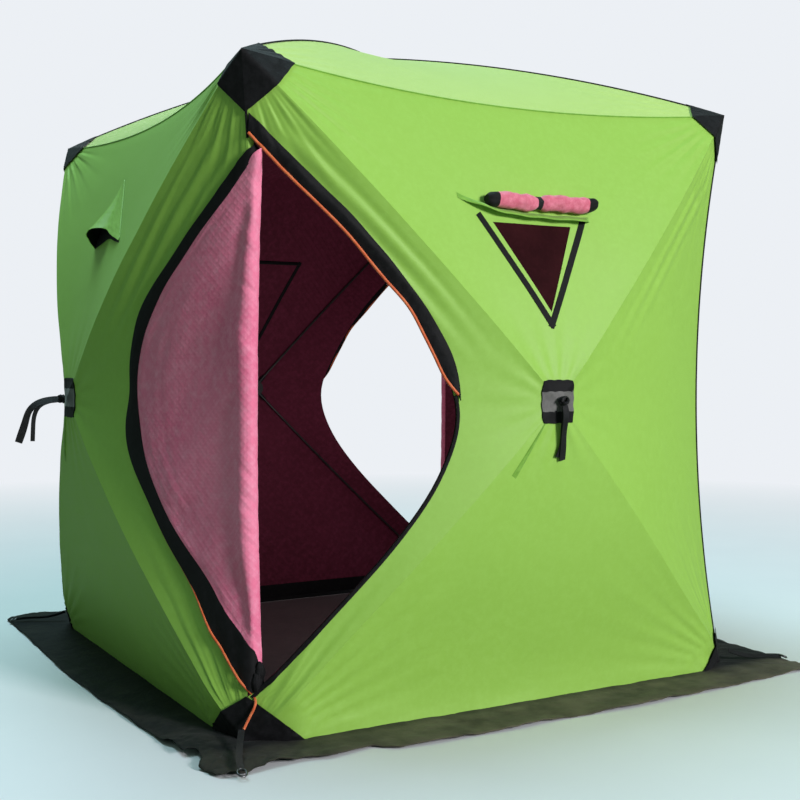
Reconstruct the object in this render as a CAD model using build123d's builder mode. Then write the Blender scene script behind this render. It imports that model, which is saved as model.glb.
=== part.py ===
from build123d import *
import math
import os

os.makedirs("parts", exist_ok=True)

# Driving sizes of the hut, in millimetres
WIDTH = 1800.0
WALL_HEIGHT = 1920.0
WALL_HUB_PUSH = 250.0
WALL_HUB_HEIGHT = 945.0
ROOF_HUB_RISE = 280.0

# How far the seams bow in and the poles bow out at their middles
CORNER_EDGE_BOW = 85.0
TOP_EDGE_BOW = 75.0
POLE_BOW = 42.0

# Cloth thicknesses
SKIN = 5.0
GROUND_CLOTH = 3.0
TRIM = 2.0
FLAP = 9.0

# Zipped corner door, measured from the corner along the wall and up from the ground
DOOR_TOP = 1705.0
DOOR_BOTTOM = 135.0
DOOR_TIP_REACH = 20.0
DOOR_REACH = 615.0
DOOR_WIDEST_HEIGHT = 925.0
DOOR_UPPER_REACH = 430.0
DOOR_UPPER_HEIGHT = 1295.0
DOOR_LOWER_REACH = 425.0
DOOR_LOWER_HEIGHT = 510.0
DOOR_CURVE_STEPS = 8

# Shut half beside it with the open half folded over it, which its fold and slack draw in
SHUT_TOP = 1632.0
SHUT_BOTTOM = 262.0
SHUT_TIP_REACH = 24.0
SHUT_REACH = 500.0
SHUT_WIDEST_HEIGHT = 960.0
SHUT_UPPER_REACH = 378.0
SHUT_UPPER_HEIGHT = 1255.0
SHUT_LOWER_REACH = 330.0
SHUT_LOWER_HEIGHT = 605.0

# Flap, tapes, piping and fold along the door's edges
STORM_FLAP = 46.0
BINDING = 9.0
PIPING = 8.0
PIPING_HEIGHT = 5.0
ZIP_TAPE = 24.0
FLAP_EDGE = 10.0
FOLD_WIDTH = 24.0
FOLD_DEPTH = 12.0
FOLD_PROUD = 20.0
FOLD_END_CLEARANCE = 28.0

# Three-cornered window and its rolled cover
WINDOW_TOP = 1482.0
WINDOW_HALF_WIDTH = 139.0
WINDOW_TIP = 1205.0
PANE = 2.0
TAPE_TOP = 1496.0
TAPE_HALF_WIDTH = 192.0
TAPE_TIP = 1160.0
TAPE_WIDTH = 18.0
ROLL_LENGTH = 400.0
ROLL_DIAMETER = 48.0
ROLL_HEIGHT = 1536.0
ROLL_BAND = 16.0

# Vent hood on the walls without a window
HOOD_HEIGHT = 110.0
HOOD_MOUTH = 1455.0
HOOD_RADIUS = 95.0
HOOD_CLOTH = 4.0

# Poles and hubs inside the skin
POLE_DIAMETER = 10.0
POLE_CLEARANCE = 0.6
POLE_CORNER_GAP = 0.035
HUB_RADIUS = 38.0
HUB_THICKNESS = 24.0
SOCKET_DIAMETER = 18.0
SOCKET_LENGTH = 50.0
HUB_REACH = 0.055
BOSS_RADIUS = 8.0
BOSS_GAP = 2.3

# Corner caps, hub patches and pull straps
TOP_CAP_LEG = 180.0
BOTTOM_CAP_LEG = 160.0
BOTTOM_CAP_RISE = 128.0
TOP_CAP = 5.0
BOTTOM_CAP = 4.0
PATCH = 3.0
PATCH_WIDTH = 116.0
PATCH_HEIGHT = 129.0
STRAP_WIDTH = 24.0
STRAP = 2.5
STRAP_DROP = 170.0
STRAP_REACH = 150.0
STRAP_RISE = 14.0
STRAP_BEND = 12.0
KNOT_WIDTH = 34.0
KNOT_HEIGHT = 24.0
KNOT_DEPTH = 12.0

# Snow skirt, groundsheet and corner ties
SKIRT_WIDTH = 235.0
SKIRT_CORNER_ROUND = 60.0
TIE_WIDTH = 22.0
TIE_LENGTH = 210.0
TIE_GAP = 12.0
RING_RADIUS = 19.0
RING_WIRE = 5.0

HALF = WIDTH / 2
PAST_CORNER = HALF + 100.0
REACH_THROUGH = HALF / 2
WALLS = ("front", "right", "back", "left")
UP = Vector(0, 0, 1)
ROOF_HUB = Vector(0, 0, WALL_HEIGHT + ROOF_HUB_RISE)


def turned(x, y, z, quarter):
    """A point or direction of the front wall, turned to the wall of that quarter."""
    return Vector(x, y, z).rotate(Axis.Z, 90.0 * quarter)


def arch_point(start, end, bow, along):
    """Point on the shallow arch from start to end that stands off its chord by bow."""
    chord = start + (end - start) * along
    return chord + bow * (4 * along * (1 - along))


def facet(start, end, apex, edge_bow, pole_bow):
    """Tensioned cloth triangle with a bowed outer edge and two arched sides."""
    edge_middle = (start + end) * 0.5 + edge_bow * 2
    start_side = (start + apex) * 0.5 + pole_bow * 2
    end_side = (end + apex) * 0.5 + pole_bow * 2
    belly = (start_side + end_side) * 0.5 + edge_bow
    return Face.make_bezier_surface(
        [
            [start, edge_middle, end],
            [start_side, belly, end_side],
            [apex, apex, apex],
        ]
    )


def wall_points(quarter):
    """Corners and pushed-out hub of one wall, in the order left, right, low and high."""
    low_left = turned(-HALF, -HALF, GROUND_CLOTH, quarter)
    low_right = turned(HALF, -HALF, GROUND_CLOTH, quarter)
    top_left = turned(-HALF, -HALF, WALL_HEIGHT, quarter)
    top_right = turned(HALF, -HALF, WALL_HEIGHT, quarter)
    hub = turned(0, -HALF - WALL_HUB_PUSH, WALL_HUB_HEIGHT, quarter)
    return low_left, low_right, top_left, top_right, hub


def wall_facets(quarter):
    """The four cloth faces of one wall, which meet at its hub."""
    low_left, low_right, top_left, top_right, hub = wall_points(quarter)
    pole_bow = turned(0, -POLE_BOW, 0, quarter)
    top_bow = turned(0, 1, -1, quarter).normalized() * TOP_EDGE_BOW
    left_bow = turned(1, 1, 0, quarter).normalized() * CORNER_EDGE_BOW
    right_bow = turned(-1, 1, 0, quarter).normalized() * CORNER_EDGE_BOW
    return {
        "upper": facet(top_left, top_right, hub, top_bow, pole_bow),
        "lower": facet(low_left, low_right, hub, Vector(0, 0, 0), pole_bow),
        "left": facet(low_left, top_left, hub, left_bow, pole_bow),
        "right": facet(low_right, top_right, hub, right_bow, pole_bow),
    }


def wall_plane(quarter):
    """Upright drawing plane of one wall, seen from outside."""
    return Plane(
        origin=turned(0, -HALF, 0, quarter),
        x_dir=turned(1, 0, 0, quarter),
        z_dir=turned(0, -1, 0, quarter),
    )


def left_mitre(quarter):
    """Upright plane through the wall's left corner that halves the corner angle."""
    return Plane(origin=turned(-HALF, -HALF, 0, quarter), z_dir=turned(1, -1, 0, quarter))


def right_mitre(quarter):
    """Upright plane through the wall's right corner that halves the corner angle."""
    return Plane(origin=turned(HALF, -HALF, 0, quarter), z_dir=turned(-1, -1, 0, quarter))


def roof_mitre(quarter):
    """Sloping plane through the wall's top seam, facing up and out."""
    return Plane(origin=turned(0, -HALF, WALL_HEIGHT, quarter), z_dir=turned(0, -1, -1, quarter))


def open_curve():
    """Edge of the opening beside the left corner, from its top tip to its bottom tip."""
    return Spline(
        (DOOR_TIP_REACH - HALF, DOOR_TOP),
        (DOOR_UPPER_REACH - HALF, DOOR_UPPER_HEIGHT),
        (DOOR_REACH - HALF, DOOR_WIDEST_HEIGHT),
        (DOOR_LOWER_REACH - HALF, DOOR_LOWER_HEIGHT),
        (DOOR_TIP_REACH - HALF, DOOR_BOTTOM),
    )


def shut_curve():
    """Edge of the shut half beside the right corner, from its top tip to its bottom tip."""
    return Spline(
        (HALF - SHUT_TIP_REACH, SHUT_TOP),
        (HALF - SHUT_UPPER_REACH, SHUT_UPPER_HEIGHT),
        (HALF - SHUT_REACH, SHUT_WIDEST_HEIGHT),
        (HALF - SHUT_LOWER_REACH, SHUT_LOWER_HEIGHT),
        (HALF - SHUT_TIP_REACH, SHUT_BOTTOM),
    )


def grown_curve_points(curve, side, grow):
    """Points along a door curve, each moved square to the curve by a margin."""
    points = []
    for step in range(DOOR_CURVE_STEPS + 1):
        along = step / DOOR_CURVE_STEPS
        slope = curve % along
        points.append(curve @ along + Vector(slope.Y, -slope.X) * side * grow)
    return points


def door_shape(quarter, side, grow):
    """Half door with its edge moved out by a margin, as a flat face on one wall's plane."""
    curve = open_curve() if side < 0 else shut_curve()
    points = grown_curve_points(curve, side, grow)
    top = points[0]
    bottom = points[-1]
    with BuildSketch(wall_plane(quarter)) as shape:
        with BuildLine():
            Spline(*points, tangents=(curve % 0, curve % 1))
            Polyline(bottom, (side * PAST_CORNER, bottom.Y), (side * PAST_CORNER, top.Y), top)
        make_face()
    return shape.sketch


def door_band(quarter, side, inner, outer, low, high):
    """Strip between two margins of the half door, between two heights."""
    with BuildSketch(wall_plane(quarter)) as span:
        with Locations((0, (low + high) / 2)):
            Rectangle(WIDTH * 2, high - low)
    ring = door_shape(quarter, side, outer) - door_shape(quarter, side, inner)
    return ring & span.sketch


def window_shape(quarter):
    """Pane opening, a triangle standing on its tip."""
    with BuildSketch(wall_plane(quarter)) as shape:
        with BuildLine():
            Polyline(
                (-WINDOW_HALF_WIDTH, WINDOW_TOP),
                (WINDOW_HALF_WIDTH, WINDOW_TOP),
                (0, WINDOW_TIP),
                close=True,
            )
        make_face()
    return shape.sketch


def keep_inside_corners(quarter):
    """Trim the active wall piece to its corner mitres and its top seam."""
    split(bisect_by=left_mitre(quarter), keep=Keep.TOP)
    split(bisect_by=right_mitre(quarter), keep=Keep.TOP)
    split(bisect_by=roof_mitre(quarter), keep=Keep.TOP)


def top_cap_plane(quarter):
    """Oblique edge of the top cap at the wall's left corner, facing away from the corner."""
    return Plane(
        origin=turned(-HALF, -HALF, WALL_HEIGHT - TOP_CAP_LEG, quarter),
        z_dir=turned(1, 1, -1, quarter),
    )


def bottom_cap_plane(quarter):
    """Oblique edge of the bottom cap at the wall's left corner, facing away from the corner."""
    slope = turned(1 / BOTTOM_CAP_LEG, 1 / BOTTOM_CAP_LEG, 1 / BOTTOM_CAP_RISE, quarter)
    return Plane(
        origin=turned(-HALF, -HALF, GROUND_CLOTH + BOTTOM_CAP_RISE, quarter),
        z_dir=slope,
    )


def keep_between_caps(quarter):
    """Trim the active trim piece to the corner length between its two caps."""
    split(bisect_by=top_cap_plane(quarter), keep=Keep.TOP)
    split(bisect_by=bottom_cap_plane(quarter), keep=Keep.TOP)


def roof_facet(quarter):
    """One of the four cloth faces of the roof."""
    low_left, low_right, top_left, top_right, hub = wall_points(quarter)
    seam_bow = turned(0, 1, -1, quarter).normalized() * TOP_EDGE_BOW
    return facet(top_left, top_right, ROOF_HUB, seam_bow, UP * POLE_BOW)


def save(builder, name):
    """Label one finished piece and write it."""
    builder.part.label = name
    export_step(builder.part, f"parts/{name}.step")


# Wall panels: four cloth triangles on each wall, cut for the doors and windows
for quarter, wall in enumerate(WALLS):
    inward = turned(0, 1, 0, quarter)
    has_window = quarter % 2 == 0
    door_side = "left" if has_window else "right"
    for name, cloth in wall_facets(quarter).items():
        with BuildPart() as panel:
            extrude(to_extrude=cloth, amount=SKIN, dir=inward)
            keep_inside_corners(quarter)
            if name == door_side:
                side = -1 if name == "left" else 1
                extrude(door_shape(quarter, side, 0), amount=REACH_THROUGH, both=True, mode=Mode.SUBTRACT)
            if name == "upper" and has_window:
                extrude(window_shape(quarter), amount=REACH_THROUGH, both=True, mode=Mode.SUBTRACT)
        place = name
        if name == door_side:
            place = "door"
        elif name in ("left", "right"):
            place = "side"
        save(panel, f"{wall}_wall_{place}_panel")

# Roof panels: four cloth triangles that rise to the roof hub
for quarter, wall in enumerate(WALLS):
    with BuildPart() as roof_panel:
        extrude(to_extrude=roof_facet(quarter), amount=SKIN, dir=-UP)
        split(bisect_by=roof_mitre(quarter), keep=Keep.BOTTOM)
    save(roof_panel, f"roof_{wall}_panel")

# Corner doors: one half zipped shut, the other unzipped and folded over it
for door, open_quarter, shut_quarter in (("near", 0, 3), ("far", 2, 1)):
    shut_cloth = wall_facets(shut_quarter)["right"]
    open_cloth = wall_facets(open_quarter)["left"]
    shut_inward = turned(0, 1, 0, shut_quarter)
    open_inward = turned(0, 1, 0, open_quarter)
    corner_out = turned(-1, -1, 0, open_quarter).normalized()
    to_open_side = turned(1, -1, 0, open_quarter)

    with BuildPart() as closed_half:
        extrude(to_extrude=shut_cloth, amount=SKIN, dir=shut_inward)
        extrude(door_shape(shut_quarter, 1, 0), amount=REACH_THROUGH, both=True, mode=Mode.INTERSECT)
        split(bisect_by=right_mitre(shut_quarter), keep=Keep.TOP)
    save(closed_half, f"{door}_door_closed_half")

    flap_prism = extrude(door_shape(shut_quarter, 1, -FLAP_EDGE), amount=REACH_THROUGH, both=True)
    flap_cloth = (shut_cloth & flap_prism).faces()[0]
    seam_foot = turned(-HALF, -HALF, 0, open_quarter)
    fold_low = SHUT_BOTTOM + FOLD_END_CLEARANCE
    fold_high = SHUT_TOP - FOLD_END_CLEARANCE
    fold_heights = (fold_low, (fold_low + fold_high) / 2, fold_high)
    seam = []
    for height in fold_heights:
        along = (height - GROUND_CLOTH) / (WALL_HEIGHT - GROUND_CLOTH)
        seam.append(-CORNER_EDGE_BOW * 4 * along * (1 - along))
    outer = [(height, bow + FOLD_PROUD) for height, bow in zip(fold_heights, seam)]
    inner = [(height, bow - FOLD_DEPTH) for height, bow in zip(fold_heights, seam)]
    with BuildPart() as folded_half:
        with BuildSketch(Plane(origin=seam_foot, x_dir=UP, z_dir=to_open_side)):
            with BuildLine():
                ThreePointArc(*outer)
                Line(outer[2], inner[2])
                ThreePointArc(*reversed(inner))
                Line(inner[0], outer[0])
            make_face()
        extrude(amount=FOLD_WIDTH)
        far_face = folded_half.faces().filter_by(Plane(origin=seam_foot, z_dir=to_open_side)).sort_by(
            Axis(seam_foot, to_open_side)
        )[-1]
        fillet(far_face.edges().sort_by(SortBy.LENGTH)[-2:], radius=FOLD_WIDTH * 0.45)
        extrude(to_extrude=flap_cloth, amount=FLAP, dir=corner_out)
    save(folded_half, f"{door}_door_folded_half")

    with BuildPart() as storm_flap:
        extrude(to_extrude=open_cloth, amount=TRIM, dir=-open_inward)
        wide = door_band(open_quarter, -1, 0, STORM_FLAP, DOOR_WIDEST_HEIGHT, WALL_HEIGHT)
        narrow = door_band(open_quarter, -1, 0, BINDING, 0, DOOR_WIDEST_HEIGHT)
        extrude(Sketch() + [wide, narrow], amount=REACH_THROUGH, both=True, mode=Mode.INTERSECT)
        keep_between_caps(open_quarter)
    save(storm_flap, f"{door}_door_storm_flap")

    with BuildPart() as zip_tape:
        extrude(to_extrude=shut_cloth, amount=TRIM, dir=-shut_inward)
        thin = door_band(shut_quarter, 1, -FLAP_EDGE, ZIP_TAPE, SHUT_WIDEST_HEIGHT, WALL_HEIGHT)
        broad = door_band(shut_quarter, 1, -FLAP_EDGE, STORM_FLAP, 0, SHUT_WIDEST_HEIGHT)
        extrude(Sketch() + [thin, broad], amount=REACH_THROUGH, both=True, mode=Mode.INTERSECT)
        keep_between_caps(open_quarter)
    save(zip_tape, f"{door}_door_zip_tape")

    with BuildPart() as piping:
        extrude(to_extrude=open_cloth, amount=PIPING_HEIGHT, dir=-open_inward)
        edge = door_band(open_quarter, -1, -PIPING, 0, DOOR_WIDEST_HEIGHT, WALL_HEIGHT)
        extrude(edge, amount=REACH_THROUGH, both=True, mode=Mode.INTERSECT)
        keep_between_caps(open_quarter)
    save(piping, f"{door}_door_opening_piping")

    with BuildPart() as flap_piping:
        extrude(to_extrude=shut_cloth, amount=PIPING_HEIGHT, dir=-shut_inward)
        edge = door_band(shut_quarter, 1, STORM_FLAP, STORM_FLAP + PIPING, 0, SHUT_WIDEST_HEIGHT)
        extrude(edge, amount=REACH_THROUGH, both=True, mode=Mode.INTERSECT)
        keep_between_caps(open_quarter)
    save(flap_piping, f"{door}_door_flap_piping")

# Windows: clear pane, touch tape in a V and the rolled cover above
for quarter in (0, 2):
    wall = WALLS[quarter]
    inward = turned(0, 1, 0, quarter)
    cloth = wall_facets(quarter)["upper"]

    with BuildPart() as pane:
        extrude(to_extrude=cloth, amount=PANE, dir=inward)
        extrude(window_shape(quarter), amount=REACH_THROUGH, both=True, mode=Mode.INTERSECT)
    save(pane, f"{wall}_window_pane")

    arm = math.hypot(TAPE_HALF_WIDTH, TAPE_TOP - TAPE_TIP)
    arm_step = TAPE_WIDTH * arm / (TAPE_TOP - TAPE_TIP)
    tip_rise = TAPE_WIDTH * arm / TAPE_HALF_WIDTH
    with BuildPart() as tape:
        extrude(to_extrude=cloth, amount=TRIM, dir=-inward)
        with BuildSketch(wall_plane(quarter)) as vee:
            with BuildLine():
                Polyline(
                    (-TAPE_HALF_WIDTH, TAPE_TOP),
                    (-TAPE_HALF_WIDTH + arm_step, TAPE_TOP),
                    (0, TAPE_TIP + tip_rise),
                    (TAPE_HALF_WIDTH - arm_step, TAPE_TOP),
                    (TAPE_HALF_WIDTH, TAPE_TOP),
                    (0, TAPE_TIP),
                    close=True,
                )
            make_face()
        extrude(amount=REACH_THROUGH, both=True, mode=Mode.INTERSECT)
    save(tape, f"{wall}_window_touch_tape")

    lean = WALL_HUB_PUSH * (WALL_HEIGHT - ROLL_HEIGHT) / (WALL_HEIGHT - WALL_HUB_HEIGHT)
    roll_start = turned(-ROLL_LENGTH / 2, -HALF - lean - ROLL_DIAMETER * 0.3, ROLL_HEIGHT, quarter)
    with BuildPart() as cover_roll:
        with BuildSketch(Plane(origin=roll_start, z_dir=turned(1, 0, 0, quarter))):
            Circle(ROLL_DIAMETER / 2)
        extrude(amount=ROLL_LENGTH)
        fillet(cover_roll.edges(), radius=ROLL_BAND / 2)
        extrude(to_extrude=cloth, amount=ROLL_DIAMETER * 2, dir=inward, mode=Mode.SUBTRACT)
    save(cover_roll, f"{wall}_window_cover_roll")

# Vent hoods on the walls without a window: a half cone of cloth, open below
for quarter in (1, 3):
    wall = WALLS[quarter]
    cloth = wall_facets(quarter)["upper"]
    inward = turned(0, 1, 0, quarter)
    lean = WALL_HUB_PUSH * (WALL_HEIGHT - HOOD_MOUTH) / (WALL_HEIGHT - WALL_HUB_HEIGHT)
    hood_middle = turned(0, -HALF - lean, HOOD_MOUTH, quarter)
    side_view = Plane(origin=hood_middle, x_dir=turned(1, 0, 0, quarter), z_dir=turned(0, -1, 0, quarter))
    with BuildPart() as vent_hood:
        with BuildSketch(side_view):
            with BuildLine():
                Polyline(
                    (0, HOOD_HEIGHT),
                    (HOOD_RADIUS * 0.35, HOOD_HEIGHT * 0.9),
                    (HOOD_RADIUS, 0),
                    (HOOD_RADIUS - HOOD_CLOTH, 0),
                    (HOOD_RADIUS * 0.35 - HOOD_CLOTH, HOOD_HEIGHT * 0.9 - HOOD_CLOTH),
                    (0, HOOD_HEIGHT - HOOD_CLOTH),
                    close=True,
                )
            make_face()
        revolve(axis=Axis(hood_middle, UP))
        extrude(to_extrude=cloth, amount=REACH_THROUGH, dir=inward, mode=Mode.SUBTRACT)
    save(vent_hood, f"{wall}_wall_vent_hood")


def pole_path(corner, hub, bow, inset):
    """Arc of one bent pole, from its corner pocket to its hub socket."""
    start = arch_point(corner, hub, bow, POLE_CORNER_GAP) + inset
    middle = arch_point(corner, hub, bow, 0.5) + inset
    finish = arch_point(corner, hub, bow, 1 - HUB_REACH) + inset
    with BuildLine() as path:
        ThreePointArc(start, middle, finish)
    return path.line


def add_pole(path):
    """Sweep one pole along its arc."""
    with BuildSketch(Plane(origin=path @ 0, z_dir=path % 0)) as section:
        Circle(POLE_DIAMETER / 2)
    sweep(sections=section.sketch, path=path)


def add_socket(path):
    """Socket of the hub that meets the end of one pole."""
    with BuildSketch(Plane(origin=path @ 1, z_dir=path % 1)) as section:
        Circle(SOCKET_DIAMETER / 2)
    extrude(to_extrude=section.sketch, amount=SOCKET_LENGTH)


def add_hub(hub, inward, paths):
    """Disc with a boss against the cloth and a socket for each pole."""
    with BuildSketch(Plane(origin=hub + inward * (SKIN + BOSS_GAP), z_dir=inward)) as boss:
        Circle(BOSS_RADIUS)
    extrude(to_extrude=boss.sketch, amount=pole_inset - SKIN, dir=inward)
    with BuildSketch(Plane(origin=hub + inward * (pole_inset - HUB_THICKNESS * 0.3), z_dir=inward)) as disc:
        Circle(HUB_RADIUS)
    extrude(to_extrude=disc.sketch, amount=HUB_THICKNESS, dir=inward)
    for path in paths:
        add_socket(path)


pole_inset = SKIN + POLE_CLEARANCE + SOCKET_DIAMETER / 2 * 1.12


def wall_pole_paths(quarter):
    """Arcs of the four poles of one wall."""
    *corners, hub = wall_points(quarter)
    inward = turned(0, 1, 0, quarter)
    return [pole_path(corner, hub, -inward * POLE_BOW, inward * pole_inset) for corner in corners]


# Four bent poles in each wall
for quarter, wall in enumerate(WALLS):
    with BuildPart() as wall_poles:
        for path in wall_pole_paths(quarter):
            add_pole(path)
    save(wall_poles, f"{wall}_wall_poles")

# Hubs in the middle of the walls
with BuildPart() as front_hub:
    add_hub(wall_points(0)[-1], turned(0, 1, 0, 0), wall_pole_paths(0))
with BuildPart() as wall_hubs:
    with PolarLocations(0, len(WALLS)):
        add(front_hub.part)
save(wall_hubs, "wall_hubs")

# Four bent poles and their hub under the roof
roof_corners = [turned(-HALF, -HALF, WALL_HEIGHT, quarter) for quarter in range(len(WALLS))]
paths = [pole_path(corner, ROOF_HUB, UP * POLE_BOW, -UP * pole_inset) for corner in roof_corners]
with BuildPart() as roof_poles:
    for path in paths:
        add_pole(path)
save(roof_poles, "roof_poles")
with BuildPart() as roof_hub:
    add_hub(ROOF_HUB, -UP, paths)
save(roof_hub, "roof_hub")

# Webbing straps that pull the hubs out: the front and back ones hang, the side ones stand away
with BuildPart() as pull_straps:
    for quarter in range(4):
        outward = turned(0, -1, 0, quarter)
        along = turned(1, 0, 0, quarter)
        *corners, hub = wall_points(quarter)
        side_view = Plane(origin=hub, x_dir=outward, z_dir=-along)
        with BuildSketch(side_view) as knot:
            with Locations((PATCH + KNOT_DEPTH / 2, 0)):
                RectangleRounded(KNOT_DEPTH, KNOT_HEIGHT, KNOT_DEPTH * 0.3)
        extrude(to_extrude=knot.sketch, amount=KNOT_WIDTH / 2, both=True)
        hanging = [
            (PATCH + KNOT_DEPTH * 0.6, 0),
            (PATCH + KNOT_DEPTH * 1.6, -KNOT_HEIGHT * 0.7),
            (PATCH + KNOT_DEPTH * 0.9, -STRAP_DROP * 0.6),
            (PATCH + KNOT_DEPTH, -STRAP_DROP),
        ]
        standing = [
            (PATCH + KNOT_DEPTH * 0.6, 0),
            (STRAP_REACH * 0.35, STRAP_RISE),
            (STRAP_REACH * 0.75, 0),
            (STRAP_REACH, -STRAP_DROP),
        ]
        with BuildLine(side_view) as tail:
            FilletPolyline(*(hanging if quarter % 2 == 0 else standing), radius=STRAP_BEND)
        with BuildSketch(Plane(origin=tail.line @ 0, x_dir=along, z_dir=tail.line % 0)) as section:
            Rectangle(STRAP_WIDTH, STRAP)
        sweep(sections=section.sketch, path=tail.line)
save(pull_straps, "pull_straps")

# Snow skirt that lies flat around the walls
with BuildPart() as snow_skirt:
    with BuildSketch():
        Rectangle(WIDTH + 2 * SKIRT_WIDTH, WIDTH + 2 * SKIRT_WIDTH)
        fillet(vertices(), radius=SKIRT_CORNER_ROUND)
        Rectangle(WIDTH - SKIN, WIDTH - SKIN, mode=Mode.SUBTRACT)
    extrude(amount=GROUND_CLOTH)
save(snow_skirt, "snow_skirt")

# Groundsheet that fills the floor
with BuildPart() as groundsheet:
    with BuildSketch():
        Rectangle(WIDTH - SKIN, WIDTH - SKIN)
    extrude(amount=GROUND_CLOTH)
save(groundsheet, "groundsheet")

def corner_cloth(name_here, name_beside):
    """Cloth faces that meet at the front wall's left corner, without the roof."""
    here = wall_facets(0)
    beside = wall_facets(3)
    return [here[name_here], here["left"], beside[name_beside], beside["right"]]


# Top corner caps: cloth caps of three facets over the upper corners
with BuildPart() as top_cap:
    for cloth in corner_cloth("upper", "upper") + [roof_facet(0), roof_facet(3)]:
        extrude(to_extrude=cloth, amount=TOP_CAP, dir=turned(-1, -1, 1, 0).normalized())
    split(bisect_by=top_cap_plane(0), keep=Keep.BOTTOM)
with BuildPart() as top_caps:
    with PolarLocations(0, len(WALLS)):
        add(top_cap.part)
save(top_caps, "top_corner_caps")

# Bottom corner caps: two facets over the lower corners
with BuildPart() as bottom_cap:
    for cloth in corner_cloth("lower", "lower"):
        extrude(to_extrude=cloth, amount=BOTTOM_CAP, dir=turned(-1, -1, 0, 0).normalized())
    split(bisect_by=bottom_cap_plane(0), keep=Keep.BOTTOM)
with BuildPart() as bottom_caps:
    with PolarLocations(0, len(WALLS)):
        add(bottom_cap.part)
save(bottom_caps, "bottom_corner_caps")

# Square patches sewn over the four wall hubs
with BuildPart() as front_patch:
    for cloth in wall_facets(0).values():
        extrude(to_extrude=cloth, amount=PATCH, dir=turned(0, -1, 0, 0))
    with BuildSketch(wall_plane(0)):
        with Locations((0, WALL_HUB_HEIGHT)):
            Rectangle(PATCH_WIDTH, PATCH_HEIGHT)
    extrude(amount=REACH_THROUGH, both=True, mode=Mode.INTERSECT)
with BuildPart() as hub_patches:
    with PolarLocations(0, len(WALLS)):
        add(front_patch.part)
save(hub_patches, "hub_patches")

# Corner ties: webbing that lies on the skirt
with BuildPart() as corner_ties:
    for quarter in range(4):
        tie_plane = Plane(
            origin=turned(-HALF, -HALF, GROUND_CLOTH, quarter), x_dir=turned(-1, -1, 0, quarter), z_dir=UP
        )
        with BuildSketch(tie_plane) as strip:
            with Locations((TIE_GAP + TIE_LENGTH / 2, 0)):
                Rectangle(TIE_LENGTH, TIE_WIDTH)
        extrude(to_extrude=strip.sketch, amount=STRAP)
save(corner_ties, "corner_ties")

# Wire rings at the ends of the corner ties
with BuildPart() as tie_rings:
    for quarter in range(4):
        ring_reach = (TIE_GAP + TIE_LENGTH - RING_RADIUS / 2) * math.sqrt(0.5)
        ring_middle = turned(-HALF - ring_reach, -HALF - ring_reach, GROUND_CLOTH + STRAP, quarter)
        with BuildSketch(Plane(origin=ring_middle)) as ring:
            Circle(RING_RADIUS)
            Circle(RING_RADIUS - RING_WIRE, mode=Mode.SUBTRACT)
        extrude(to_extrude=ring.sketch, amount=RING_WIRE)
save(tie_rings, "tie_rings")
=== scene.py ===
import math

import bmesh
import bpy
import numpy as np
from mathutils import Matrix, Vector, noise


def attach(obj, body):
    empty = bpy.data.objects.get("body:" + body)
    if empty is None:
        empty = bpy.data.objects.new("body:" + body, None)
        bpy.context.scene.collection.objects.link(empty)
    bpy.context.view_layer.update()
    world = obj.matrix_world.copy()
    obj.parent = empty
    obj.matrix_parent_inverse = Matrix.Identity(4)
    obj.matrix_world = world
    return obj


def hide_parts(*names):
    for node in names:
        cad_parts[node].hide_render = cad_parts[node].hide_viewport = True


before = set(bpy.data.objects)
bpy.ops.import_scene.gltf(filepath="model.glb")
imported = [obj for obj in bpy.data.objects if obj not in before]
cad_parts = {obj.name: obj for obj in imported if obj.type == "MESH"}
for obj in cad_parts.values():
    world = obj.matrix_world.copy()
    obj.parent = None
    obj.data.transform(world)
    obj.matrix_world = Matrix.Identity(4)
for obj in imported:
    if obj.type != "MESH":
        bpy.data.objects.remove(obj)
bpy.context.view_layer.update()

# Sizes of the hut in metres, the same as the solid model's
HALF = 0.9
FLOOR = 0.003
HEIGHT = 1.92
HUB_Y = -1.15
HUB_Z = 0.945
ROOF_Z = 2.2
EDGE_BOW = 0.085
TOP_BOW = 0.075
POLE_BOW = 0.042
SKIN = 0.005
OPEN_EDGE = (
    (0.020, 1.705), (0.265, 1.465), (0.424, 1.272), (0.555, 1.040), (0.588, 0.925),
    (0.560, 0.790), (0.438, 0.590), (0.272, 0.398), (0.020, 0.125),
)
SHUT_EDGE = (
    (0.006, 1.656), (0.1965, 1.4415), (0.413, 1.2175), (0.497, 0.985),
    (0.389, 0.665), (0.1895, 0.4415), (0.004, 0.235),
)
WINDOW = np.array(((-0.149, 1.480), (0.140, 1.480), (0.008, 1.212)))
R2 = math.sqrt(0.5)


# Small helpers for meshes and materials


def turn(points, quarter):
    """Points of the front wall turned to the wall of that quarter."""
    points = np.asarray(points, float)
    a = math.pi / 2 * quarter
    c, s = round(math.cos(a)), round(math.sin(a))
    out = points.copy()
    out[..., 0] = c * points[..., 0] - s * points[..., 1]
    out[..., 1] = s * points[..., 0] + c * points[..., 1]
    return out


def wave(points, scale, seed=0.0):
    """Smooth noise from -1 to 1 at each point."""
    flat = np.asarray(points, float).reshape(-1, 3) * scale
    values = [noise.noise(Vector((p[0] + seed, p[1] - seed * 0.7, p[2] + seed * 1.3))) for p in flat]
    return np.array(values).reshape(np.asarray(points).shape[:-1])


def unit(vectors):
    """The vectors, each brought to a length of one."""
    return vectors / np.maximum(np.linalg.norm(vectors, axis=-1), 1e-9)[..., None]


def run_length(path):
    """Distance along a path at each of its points."""
    return np.concatenate([[0], np.cumsum(np.linalg.norm(np.diff(path, axis=0), axis=1))])


def pair(a, b):
    """Two arrays side by side, as the two numbers of each texture place."""
    return np.stack(np.broadcast_arrays(a, b), -1)


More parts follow.
